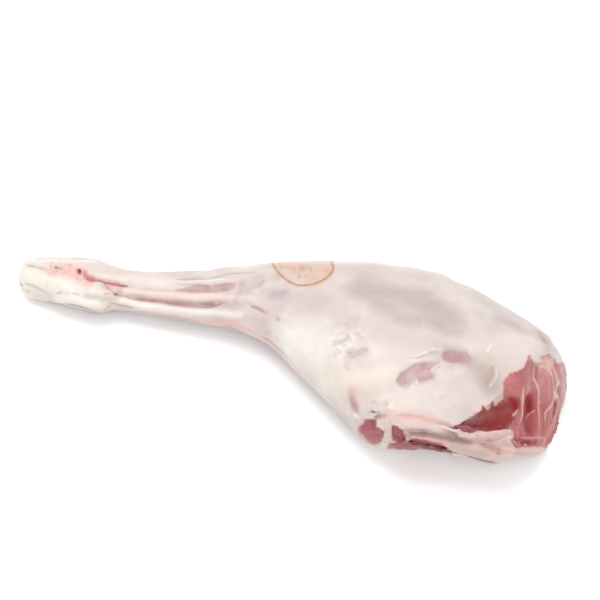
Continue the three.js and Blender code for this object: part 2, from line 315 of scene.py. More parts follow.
def seen_points(points, normals):
    """Which points the camera sees."""
    facing = ((np.array(EYE) / MM - points) * normals).sum(1) > 0
    seen = np.zeros(len(points), bool)
    for index in np.flatnonzero(facing):
        towards = Vector(points[index] * MM) - EYE
        way = towards.length - SEEN_GAP * MM
        hits = [tree.ray_cast(EYE, towards.normalized(), way) for tree in TREES]
        seen[index] = all(hit[0] is None for hit in hits)
    return seen


def carried_over(points, seen):
    """For each point the nearest seen one and the way to it."""
    tree = KDTree(int(seen.sum()))
    for number in np.flatnonzero(seen):
        tree.insert(points[number], int(number))
    tree.balance()
    source = np.arange(len(points))
    way = np.zeros(len(points))
    for index in np.flatnonzero(~seen):
        _, source[index], way[index] = tree.find(points[index])
    return source, way


def view_of_points(points, normals):
    """What points are to the camera: their places, what it sees, and what is carried over."""
    places, scale = places_in_picture(points)
    seen = seen_points(points, normals)
    source, way = carried_over(points, seen)
    return {"points": points, "places": places, "scale": scale, "seen": seen, "source": source, "way": way}


# %% How deep inside an area each point is
def depth_inside(view, outline):
    """Millimetres that each point is inside an outline of picture places, negative outside."""
    places = view["places"]
    inside = np.zeros(len(places), bool)
    nearest = np.full(len(places), FAR)
    corners = [np.array(c, float) for c in outline]
    for start, end in zip(corners, corners[1:] + corners[:1]):
        nearest = np.minimum(nearest, beside_segment(places, start, end)[1])
        if start[1] != end[1]:
            along = end - start
            crosses = (places[:, 1] > start[1]) != (places[:, 1] > end[1])
            side = start[0] + (places[:, 1] - start[1]) * along[0] / along[1]
            inside ^= crosses & (places[:, 0] < side)
    depth = np.where(inside, nearest, -nearest) * view["scale"]
    return depth[view["source"]] - view["way"]


def own_depth(points, outline):
    """How deep each point's own place in the picture is inside an outline, seen or not."""
    places, scale = places_in_picture(points)
    view = {"places": places, "scale": scale, "source": np.arange(len(points)), "way": 0}
    return depth_inside(view, outline)


# %% [markdown]
# The colours are those that the picture shows on the lit leg. A lit white table looks white at less
# than full reflection, so a colour is turned into a linear one and then scaled by the share of
# light that the leg gets. Setting plain screen values on the shader would make all of it too pale,
# because the shader expects linear ones.

# %% Colours
LIGHT_SHARE = 0.68
SHOWN = {
    # Skin and fat
    "fell": (235, 222, 217), "white": (255, 250, 243), "cream": (252, 243, 233),
    "butter": (252, 242, 228), "blush": (248, 227, 219), "shell": (255, 233, 225),
    "pink": (249, 205, 198), "rose": (228, 180, 176), "flush": (250, 194, 188), "ivory": (252, 245, 234),
    # The lobe colour is pink fat with painted shade, for the lower side of the fat straps.
    "band": (232, 204, 196), "lobe": (226, 186, 178),
    # Tones on the skin; several of them also serve as painted shade in hollows, creases and under edges
    "veil": (225, 210, 208), "mauve": (207, 191, 187), "lilac": (205, 186, 188), "plum": (176, 146, 147),
    "stone": (221, 218, 212), "beige": (229, 211, 202), "sand": (204, 186, 178), "putty": (186, 168, 160),
    "tan": (224, 178, 150), "brown": (176, 142, 134), "russet": (192, 142, 136), "dark": (122, 92, 88),
    # This one only paints shadow: the contact shadow along the lower edge and the shadow under the band.
    "umber": (96, 58, 54),
    # Blood and raw spots
    "graze": (214, 124, 122), "red": (205, 96, 96), "blood": (160, 44, 46), "pit": (172, 0, 0),
    "pit_core": (150, 0, 0),
    # Windows and meat
    "window": (212, 180, 180), "window_light": (226, 200, 199), "window_deep": (188, 146, 150),
    "meat": (194, 108, 108), "meat_pale": (211, 134, 132), "meat_deep": (184, 78, 78),
    "meat_dark": (156, 40, 40), "meat_mauve": (198, 140, 138), "outer": (224, 188, 182),
    # The darkest band colour is meat under painted shadow, for the line below the band's edge.
    "patch": (176, 96, 102), "band_meat": (154, 85, 88), "band_meat_in_shade": (132, 70, 68),
    "seam": (238, 200, 194), "tan_fat": (238, 200, 180),
    # Ink
    "ink": (168, 118, 74), "ink_wash": (236, 182, 138),
}


def linear(shown):
    """A colour as shown on a screen, from 0 to 255, as the linear colour of a surface in this light."""
    parts = [c / 255 for c in shown]
    parts = [c / 12.92 if c <= 0.04045 else ((c + 0.055) / 1.055) ** 2.4 for c in parts]
    return np.array([c * LIGHT_SHARE for c in parts])


COLOURS = {name: linear(shown) for name, shown in SHOWN.items()}
print(len(COLOURS), "colours")

# %% [markdown]
# What the skin shows is a list of strokes. A stroke has a colour and how strongly it covers, a half
# width, a height (below zero it is a groove), and the line. The order is the order of painting.

# %% Strokes on the hock
HOCK = [
    ("hock ivory", "ivory", 0.9, 16.0, 0.0, [(22, 278), (60, 282), (100, 290)]),
    ("hock far", "blush", 0.5, 7.0, 0.0, [(100, 268), (125, 275)]),
    ("slit strip", "white", 0.8, 2.2, 0.7, [(27, 261.5), (60, 260.5), (95, 261)]),
    # Painted shade along a shallow real groove at the far edge.
    ("far groove", "beige", 0.4, 1.0, -0.5, [(66, 259.5), (94, 259.5)]),
    ("slit", "sand", 0.7, 0.8, -0.6, [(25, 264.5), (36, 267), (48, 270)]),
    ("pink pad", "flush", 0.85, 4.6, 0.0, [(51, 272), (60, 272.5), (68, 272)]),
    ("pink upper", "flush", 0.5, 3.0, 0.0, [(61, 266), (72, 266.5), (84, 271)]),
    ("pink lower", "flush", 0.6, 4.5, 0.0, [(74, 275), (80, 281), (88, 284.5)]),
    ("hole one", "plum", 0.95, 0.9, -0.8, [(54.2, 267.2), (58, 268.2)]),
    ("hole one tail", "rose", 0.8, 0.8, -0.3, [(58, 268), (62, 269)]),
    ("thin line", "sand", 0.7, 0.8, -0.3, [(66, 265.3), (72, 265.3)]),
    ("hole two halo", "graze", 0.6, 2.0, -0.2, [(77.5, 268.5), (80, 275.5)]),
    ("hole two", "blood", 1.0, 0.95, -0.5, [(78.8, 268.8), (80.2, 274)]),
    ("hole two core", "dark", 0.7, 0.55, -0.6, [(79.2, 270), (80, 273)]),
    ("red streak", "graze", 0.6, 2.6, -0.2, [(84.5, 274), (86, 278), (91, 280.8)]),
    ("red smear", "graze", 0.5, 2.4, 0.0, [(86, 276), (93, 278.5)]),
    ("red streak core", "red", 0.6, 1.1, -0.3, [(86, 278), (90, 280.6), (95, 280.8)]),
    ("red streak end", "graze", 0.8, 1.0, -0.4, [(90, 279.4), (96, 281), (101, 281)]),
    ("red dot", "brown", 0.9, 0.9, -0.6, [(100.5, 280.8), (102.5, 281.6)]),
    ("crack glow", "flush", 0.6, 3.6, 0.0, [(107, 287.5), (118, 289), (130, 290)]),
    ("crack blush", "graze", 0.3, 2.8, 0.0, [(90, 277), (104, 281.5), (118, 284)]),
    ("crack", "red", 0.75, 1.0, -0.8, [(103, 282.6), (108, 284), (118, 285), (128, 286.3)]),
    ("crack core", "blood", 0.6, 0.7, -0.5, [(118, 285.4), (123, 286), (128, 286.5)]),
    ("crack tail", "rose", 0.35, 1.0, -0.2, [(128, 287.5), (140, 289.4), (154, 289.8), (174, 290)]),
    ("branch", "russet", 0.45, 1.2, -0.2, [(104, 284), (108, 287), (111, 291), (114, 293)]),
    ("branch end", "brown", 1.0, 1.1, -0.5, [(114.6, 294), (116.6, 294.8)]),
    ("small dot", "sand", 0.7, 0.8, -0.4, [(104, 293.6), (107, 293.4), (110, 293.8)]),
    ("heel hollow", "sand", 0.6, 3.0, -1.0, [(87, 297.5), (98, 298.5), (112, 299.5)]),
    ("heel ridge", "white", 0.8, 3.6, 0.8, [(58, 299), (80, 301.5), (98, 305)]),
    # Painted shade on the underside of the heel, with a small real crease.
    ("under shade", "lilac", 0.9, 3.2, 0.0, [(50, 305), (62, 308), (78, 310), (96, 313)]),
    ("under shade line", "plum", 0.9, 1.2, -0.8, [(60, 303.5), (72, 305), (84, 307.8), (96, 311.6)]),
    ("knuckle groove", "beige", 0.9, 1.4, -0.8, [(24.5, 283.7), (33, 286.7), (40.6, 290.5), (46, 293)]),
    ("knuckle pit", "brown", 0.6, 1.6, -1.2, [(21, 283), (21, 286)]),
    ("knuckle spot", "sand", 0.4, 1.5, -0.3, [(26, 290.6), (30, 291.4)]),
    ("heel dot one", "sand", 0.6, 0.9, -0.4, [(56, 293.8), (59, 293.2), (63, 292.4)]),
    ("heel pink", "flush", 0.4, 1.6, 0.0, [(64, 293), (71, 293.2)]),
    ("heel dot two", "sand", 0.5, 0.9, -0.4, [(72, 293.2), (76, 294), (80, 295.2)]),
    ("heel notch", "plum", 0.4, 1.0, -0.5, [(104, 311), (108, 306.6), (111, 304.5)]),
    ("pink band", "pink", 0.7, 2.2, 0.3, [(108, 308), (125, 311), (140, 313)]),
    ("pink groove", "russet", 0.5, 0.9, -0.5, [(110, 303.5), (120, 305.5), (135, 307.8)]),
]
print(len(HOCK), "strokes on the hock")

# %% Strokes on the shank
SHANK = [
    ("shin", "cream", 0.6, 5.0, 0.0, [(125, 279), (150, 281), (170, 283)]),
    ("far line", "sand", 0.6, 0.9, -0.8,
     [(175, 279.3), (195, 279.3), (207, 278.9), (216, 276.8), (230, 273.4), (258, 272.2)]),
    ("far edge line", "sand", 0.5, 0.9, -0.7, [(198, 270.5), (217, 266.8)]),
    ("window ridge", "white", 0.6, 1.8, 0.7, [(178, 283.2), (195, 281.8), (212, 281.5), (226, 279.3)]),
    ("flexor", "shell", 0.9, 3.0, 1.0,
     [(125, 291.5), (150, 294.5), (180, 297.5), (215, 299), (240, 298)]),
    # The groove between the tendons is in the solid; these strokes only paint its shade.
    ("groove shade", "brown", 0.5, 2.6, 0.0, [(176, 303), (195, 305), (212, 304)]),
    ("deep groove shade", "russet", 0.95, 1.6, 0.0,
     [(116, 294.6), (121, 296), (132, 299), (149, 300.9), (166, 302.6), (180, 305.5), (193, 307.2),
      (206, 307.8), (217, 305.6), (224, 302.5)]),
    ("groove core shade", "russet", 1.0, 1.4, 0.0, [(130, 298.6), (138, 300), (149, 301), (160, 302)]),
    ("groove dash shade", "russet", 0.7, 0.9, 0.0, [(200, 303.6), (208, 304.8), (217, 305)]),
    # A pale tendon, lighter still by a painted highlight along it.
    ("heel tendon", "white", 0.8, 3.2, 0.9,
     [(122, 299.8), (143, 305.5), (165, 308.5), (193, 311.5), (220, 313), (240, 316)]),
    ("lower pink", "pink", 0.8, 2.4, 0.0, [(120, 310), (149, 313.6), (177, 318.5), (205, 323)]),
    ("lower line", "rose", 0.6, 1.0, -0.6, [(128, 310.8), (149, 312.6), (177, 317.5), (200, 321.5)]),
    ("belly pink", "pink", 0.85, 4.2, 0.0,
     [(205, 323), (232, 325), (250, 330), (268, 341), (285, 356), (297, 369)]),
    # Painted shade along the belly's lower edge, where it meets the table, with a small real crease.
    ("belly contact shade", "plum", 0.5, 1.6, -0.6, [(262, 336.5), (272, 343.5), (286, 355)]),
    ("belly underside shade", "brown", 0.5, 2.4, 0.0, [(228, 327), (240, 331), (254, 338), (266, 346), (280, 358)]),
    ("cheek", "mauve", 0.5, 4.0, -0.4, [(243, 283), (247, 291)]),
    ("small crease", "sand", 0.5, 0.9, -0.8, [(257.8, 286), (261, 282.5), (264.7, 280.3)]),
    ("small crease two", "white", 0.5, 1.2, 0.5, [(252, 292), (262, 288), (270, 286)]),
    ("shank notch", "putty", 0.35, 2.4, -0.3, [(236, 300), (240, 292), (241, 284)]),
]
print(len(SHANK), "strokes on the shank")

# %% Strokes on the thigh
THIGH = [
    ("calf", "beige", 0.7, 7.5, 0.0, [(258, 320), (285, 338)]),
    ("spot veil", "veil", 0.7, 9.0, 0.0, [(264, 297), (292, 296)]),
    ("spot", "lilac", 0.8, 4.4, -0.4, [(274, 294.5), (284, 294)]),
    ("fat line", "beige", 0.8, 2.8, -0.9, [(248, 304.4), (262, 311), (278, 319.3), (292, 328.5)]),
    ("fat line dark", "brown", 0.6, 1.2, -0.4, [(250, 305.5), (258, 308.6), (266, 313.2)]),
    ("fat line end", "brown", 0.7, 1.3, -0.6, [(274, 317.5), (279, 320.5)]),
    ("olive spot", "sand", 0.7, 2.2, 0.0, [(296, 302), (303, 301)]),
    ("thigh veil", "veil", 1.0, 14.0, 0.0, [(302, 304), (322, 308), (338, 316)]),
    ("far veil", "veil", 0.8, 9.0, 0.0, [(346, 268), (390, 272), (425, 278)]),
    ("muscle", "mauve", 0.95, 14.0, -0.3, [(362, 288), (395, 293), (430, 303), (455, 322)]),
    ("muscle low", "mauve", 0.9, 9.0, -0.5, [(378, 310), (400, 316), (424, 322), (446, 330)]),
    ("muscle dark", "lilac", 0.35, 6.0, 0.0, [(366, 291), (376, 296)]),
    ("muscle dark two", "lilac", 0.35, 5.0, 0.0, [(388, 309), (400, 313)]),
    ("muscle light", "fell", 0.25, 4.0, 0.0, [(404, 310), (414, 312)]),
    ("pale band", "fell", 0.9, 6.0, 0.5, [(436, 276), (463, 297), (475, 322), (486, 338)]),
    ("fat below", "fell", 0.8, 6.0, 0.3, [(350, 306), (366, 314), (394, 327), (425, 334), (450, 341)]),
    ("far grey", "stone", 0.8, 7.0, 0.0, [(476, 297), (498, 307), (514, 316)]),
    ("far sand", "sand", 0.6, 5.0, 0.0, [(503, 320), (525, 332)]),
    ("rump cream", "cream", 0.3, 13.0, 0.0, [(500, 344), (532, 345)]),
    ("rump grey", "beige", 0.5, 14.0, 0.0, [(488, 352), (500, 372), (494, 388)]),
    ("rump sand", "putty", 0.65, 8.5, -0.3, [(474, 364), (487, 374), (491, 384)]),
    ("middle grey", "veil", 0.6, 7.0, 0.0, [(396, 342), (418, 345), (436, 343)]),
    ("cream fat", "white", 0.95, 17.0, 0.4, [(290, 340), (312, 348), (336, 352)]),
    ("blush fat", "blush", 0.6, 9.0, 0.0, [(336, 364), (362, 362)]),
    ("butter fat", "butter", 0.9, 8.0, 0.0, [(320, 379), (350, 380), (386, 377)]),
    ("left low", "cream", 0.7, 8.0, 0.0, [(322, 387), (336, 395)]),
    # Wrinkles are real grooves; lilac paints shade in their creases and white paints highlights on the
    # folds.
    ("wrinkle one", "lilac", 0.5, 1.7, -0.6, [(343.5, 325), (349, 323.5)]),
    ("wrinkle two", "lilac", 0.65, 2.6, -0.6, [(336, 342.5), (343, 340.5), (349, 337)]),
    ("wrinkle three", "lilac", 0.7, 3.0, -0.6, [(348, 352), (356, 352.5), (365, 350.5)]),
    ("wrinkle three foot", "lilac", 0.6, 2.6, -0.3, [(352, 356), (361, 354)]),
    ("wrinkle six", "lilac", 0.35, 2.4, -0.4, [(347, 359), (347.5, 363), (347, 367.5)]),
    ("wrinkle four", "lilac", 0.4, 1.8, -0.5, [(339, 354), (341, 351)]),
    ("wrinkle light", "white", 0.5, 1.4, 0.4, [(349.5, 332), (352.5, 337), (353, 341)]),
    ("wrinkle light two", "white", 0.35, 2.2, 0.3, [(338, 346), (344, 348.5), (349, 346.5)]),
    ("wrinkle light three", "white", 0.35, 2.0, 0.2, [(332, 354), (336, 352)]),
    ("pink spot", "rose", 0.75, 5.0, 0.0, [(352, 393), (353, 401)]),
    ("pink spot foot", "brown", 0.6, 3.4, -0.3, [(354, 406), (356, 410)]),
    ("pink spot dark", "plum", 0.4, 3.0, 0.0, [(352, 399), (354, 406)]),
    ("white fold", "white", 0.9, 1.6, 0.9, [(353, 414), (357, 416), (361, 418)]),
    ("thread shade", "sand", 0.35, 1.3, -0.4, [(416, 359), (428, 355), (440, 351.5)]),
    ("thread", "cream", 0.8, 0.9, 0.7, [(409, 356.5), (418, 355.5), (428, 351.8), (440, 348)]),
    ("thread upper", "white", 0.6, 0.9, 0.6, [(492.5, 344), (490, 347.5), (486, 353)]),
    ("grey end", "mauve", 0.6, 2.4, -0.2, [(447, 349), (458, 348.3), (466, 351)]),
    ("shade by window", "sand", 0.6, 4.0, 0.0, [(474, 362), (480, 366)]),
    ("corner shade", "putty", 0.4, 2.0, -0.4, [(491.5, 366), (492.5, 375), (489, 381), (485, 386)]),
    ("dent one", "sand", 0.7, 1.2, -0.7, [(385, 405.5), (388, 403)]),
    ("fat lump", "white", 0.8, 2.6, 0.8, [(380, 401), (386, 397), (390, 395)]),
    ("fat lump two", "cream", 0.8, 2.0, 0.7, [(388, 409), (394, 404)]),
    ("lower cream", "cream", 0.6, 8.0, 0.0, [(378, 398), (402, 402), (440, 398)]),
]
print(len(THIGH), "strokes on the thigh")

# %% Strokes on the near edge, below the thigh
NEAR_EDGE = [
    ("dark spot", "brown", 0.9, 1.5, -1.8, [(373.3, 411), (373.5, 414)]),
    ("spot lilac", "lilac", 0.7, 2.0, -0.4, [(376, 413.5), (380, 416)]),
    ("brown fold", "plum", 0.8, 1.4, -1.2, [(374, 418), (381, 417), (387, 415)]),
    ("pink ledge", "pink", 0.7, 4.5, 0.0, [(384, 416), (398, 419), (414, 418.5), (428, 422)]),
    ("upper band", "blush", 0.7, 2.4, 0.6, [(400, 424), (418, 425), (446, 428)]),
    ("tan line", "tan", 0.5, 1.9, -0.3, [(422, 419.7), (432, 420.7), (444, 423), (452, 425.5)]),
    ("band brown line", "brown", 0.35, 1.4, -0.2, [(436, 422.5), (446, 425), (454, 427.5)]),
    ("pink line", "rose", 0.6, 1.1, -0.5, [(396, 415.6), (410, 416), (425, 418.6)]),
    ("fold by patch", "beige", 0.7, 2.4, -0.6, [(384, 424), (389, 430)]),
    ("oval", "plum", 1.0, 3.2, -0.4,
     [(413, 434.4), (421, 434.6), (432, 435.8), (446, 438), (458, 440.5), (469, 441.8)]),
    ("oval brown", "brown", 0.6, 1.8, -0.4, [(419, 433.5), (428, 433)]),
    ("oval dots", "brown", 0.5, 1.0, -0.5, [(450, 438), (453, 441)]),
    ("oval top", "beige", 0.6, 1.0, -0.3, [(405, 430), (424, 430.8), (436, 431.8)]),
    # Pale fat, painted lighter still to offset the shade of the hollow it lies in.
    ("upper strip", "blush", 0.95, 2.3, 0.3,
     [(436, 429.6), (447, 430.3), (456, 432.3), (464, 435.2), (473, 438.3)]),
    ("band tip", "russet", 0.55, 2.6, 0.0, [(405.5, 432), (408, 438)]),
    ("lower band", "pink", 0.6, 1.5, 0.5,
     [(410, 436.5), (426, 438.6), (444, 443), (462, 449.5), (480, 455)]),
    # Painted shade on the underside below the bone, and a painted contact shadow with a small real groove.
    ("lower grey", "sand", 0.7, 3.0, 0.0, [(454, 447), (468, 450.5), (486, 455)]),
    ("under edge shade", "brown", 0.6, 2.2, 0.0, [(446, 449), (456, 452.5), (472, 458), (492, 463)]),
    ("lower edge shadow", "umber", 0.55, 1.25, -0.7,
     [(444, 447.8), (450, 450.6), (458, 453.5), (466, 456.2), (474, 458.6), (482, 460.7), (490, 462.2),
      (497, 463)]),
    ("bridge", "beige", 0.8, 2.4, 0.8, [(386, 424), (388, 432), (386, 441)]),
    ("under lobe", "rose", 0.6, 3.6, 0.0, [(484, 446), (500, 449)]),
    ("lobe tan", "tan", 0.6, 2.0, -0.4, [(491, 446.5), (494, 446)]),
    ("lobe brown", "brown", 0.8, 1.2, -0.5, [(498, 454), (500, 453.6)]),
    ("near fold", "russet", 0.7, 1.8, -0.5, [(480, 444), (488, 446.5), (496, 449.5), (503, 451)]),
    ("bottom strip", "pink", 0.9, 3.4, 0.8, [(506, 451), (528, 452), (543, 451.5)]),
    ("bottom grey", "sand", 0.6, 2.2, 0.0, [(514, 453), (528, 453.5), (541, 453.5)]),
    # Painted shadow under the lobe and under the fold below it.
    ("lobe foot shadow", "brown", 0.6, 1.8, -0.3, [(484, 439), (494, 439), (502, 438)]),
    ("lower fold", "band", 0.8, 1.6, 0.6, [(470, 437), (477, 440), (485, 441.5)]),
    ("lower fold shade", "plum", 0.4, 1.2, -0.3, [(468, 440), (476, 443), (486, 444)]),
    ("bottom line", "rose", 0.7, 1.0, -0.4, [(497, 450), (512, 452.5), (526, 454)]),
]
FELL_STROKES = HOCK + SHANK + THIGH + NEAR_EDGE
print(len(FELL_STROKES), "strokes on the skin")

# %% [markdown]
# Where the skin is torn off or was sawn through, raw meat shows. The areas are closed lines. A few
# thin places, called windows here, still have skin, but the muscle shines through it. The meat
# could be a mesh of its own below a skin with holes, but the thin torn edges would be hard to
# close, so skin and meat stay one surface.

# %% Bare areas and windows
BARE = {
    "cut face": [
        (455, 427), (462.6, 422.8), (471, 419), (478, 413.8), (482, 410.4), (482.6, 405.5), (486, 410.3),
        (489.3, 409.4), (491.8, 401), (494.2, 406), (500, 402.5), (503.3, 397), (503.3, 385),
        (504.5, 378.4), (510.7, 373.6), (521.4, 370), (525.9, 365.5), (527.4, 358.6), (529.5, 356.6),
        (533, 359.6), (536, 364.5), (541, 362), (541, 357), (548, 354.5), (554, 359), (557, 363),
        (562, 364), (567, 372), (572, 385), (572, 400), (562, 434), (550, 448), (541, 447), (528, 447.5),
        (514, 447), (511.6, 441), (514, 434), (510.7, 429), (503.6, 431.3), (490, 433.3), (472, 432.8),
        (464, 429.4)],
    "patch one": [
        (358.4, 427.4), (362.2, 423.6), (366, 419.8), (370.6, 419.4), (376.7, 419), (376.3, 422.8),
        (376, 425.9), (379.8, 429), (384.4, 432), (384, 435.9), (382, 440.4), (379.8, 443.9),
        (373.7, 445.5), (369.8, 443.5), (366, 440.4), (361.5, 435), (358.5, 431.3)],
    "patch two": [
        (393, 426), (398, 428.6), (403.5, 431.8), (406.5, 435), (405.5, 438), (405.3, 443.5),
        (407, 447.5), (400.4, 447.7), (397, 445), (395, 441.2), (392, 439.7), (390.9, 436.6),
        (392.8, 432.8)],
    "under band": [
        (388, 444), (396, 442), (404, 442.5), (407, 442.4), (412, 439.3), (417, 438.6), (425, 440),
        (431, 441.6), (436, 442.2), (441, 443.4), (448, 447), (452, 450), (452, 456), (440, 458),
        (420, 456), (400, 454), (388, 450)],
}
WINDOWS = {
    "window one": [
        (395, 382), (400, 373.8), (406.7, 369.4), (414.5, 363.8), (419, 361.6), (433.5, 361.6),
        (439, 361), (439.6, 367.7), (435.7, 370), (430, 370), (434, 376), (432.4, 378.3), (424.6, 381),
        (418, 382.8), (416.7, 379.8), (411.2, 383.9), (408.9, 386.9), (405.8, 388.6), (400.4, 387)],
    "window two": [
        (441.3, 354.9), (444.6, 351.5), (450.2, 349.8), (458, 350.6), (465.8, 352.6), (469.8, 356),
        (470.3, 359.3), (468, 362.7), (462.5, 363.8), (453.6, 363.6), (446.9, 362), (443, 359.3)],
    "shank window": [
        (174, 289.6), (184.3, 287.7), (193.5, 285.6), (199.2, 284.6), (205, 285), (212, 286.2),
        (217.6, 283.7), (223.3, 283.1), (232.5, 282.6), (235.4, 283.7), (235.4, 287.1), (232.5, 289.4),
        (226.8, 291.7), (218.7, 292.3), (200.4, 292.6), (188.9, 292), (177.4, 290.8)],
    "rim window": [(538, 331), (541, 333), (546, 338), (549, 344), (545, 344), (541, 340), (538.6, 335)],
}
print(len(BARE), "bare areas and", len(WINDOWS), "windows")

# %% Strokes on the windows
WINDOW_STROKES = [
    ("window rim", "plum", 0.3, 1.3, 0.0, [(396.5, 383), (400, 375), (407, 369.5), (415, 364)]),
    ("window red", "window_deep", 0.7, 2.6, 0.0, [(421, 379), (427, 378), (432, 376.5)]),
    ("window foot", "veil", 0.6, 2.2, 0.0, [(405, 388.5), (412, 386), (419, 383.5)]),
    ("window fleck", "cream", 0.6, 0.8, 0.3, [(416, 379), (417.5, 384)]),
    ("window fleck two", "cream", 0.5, 0.7, 0.3, [(410, 385), (413, 388)]),
    ("window thread", "cream", 0.7, 0.8, 0.4, [(430, 370.5), (435, 368), (440, 364)]),
    ("window two tone", "window_deep", 0.6, 4.5, 0.0, [(447, 356), (464, 358)]),
    ("window two left", "plum", 0.35, 1.6, 0.0, [(443, 354), (447, 352)]),
    ("window two foot", "lilac", 0.4, 2.6, 0.0, [(450, 366), (462, 366)]),
    ("rim veil", "lilac", 0.3, 3.5, 0.0, [(540, 334), (548, 343), (554, 352)]),
]
print(len(WINDOW_STROKES), "strokes on the windows")

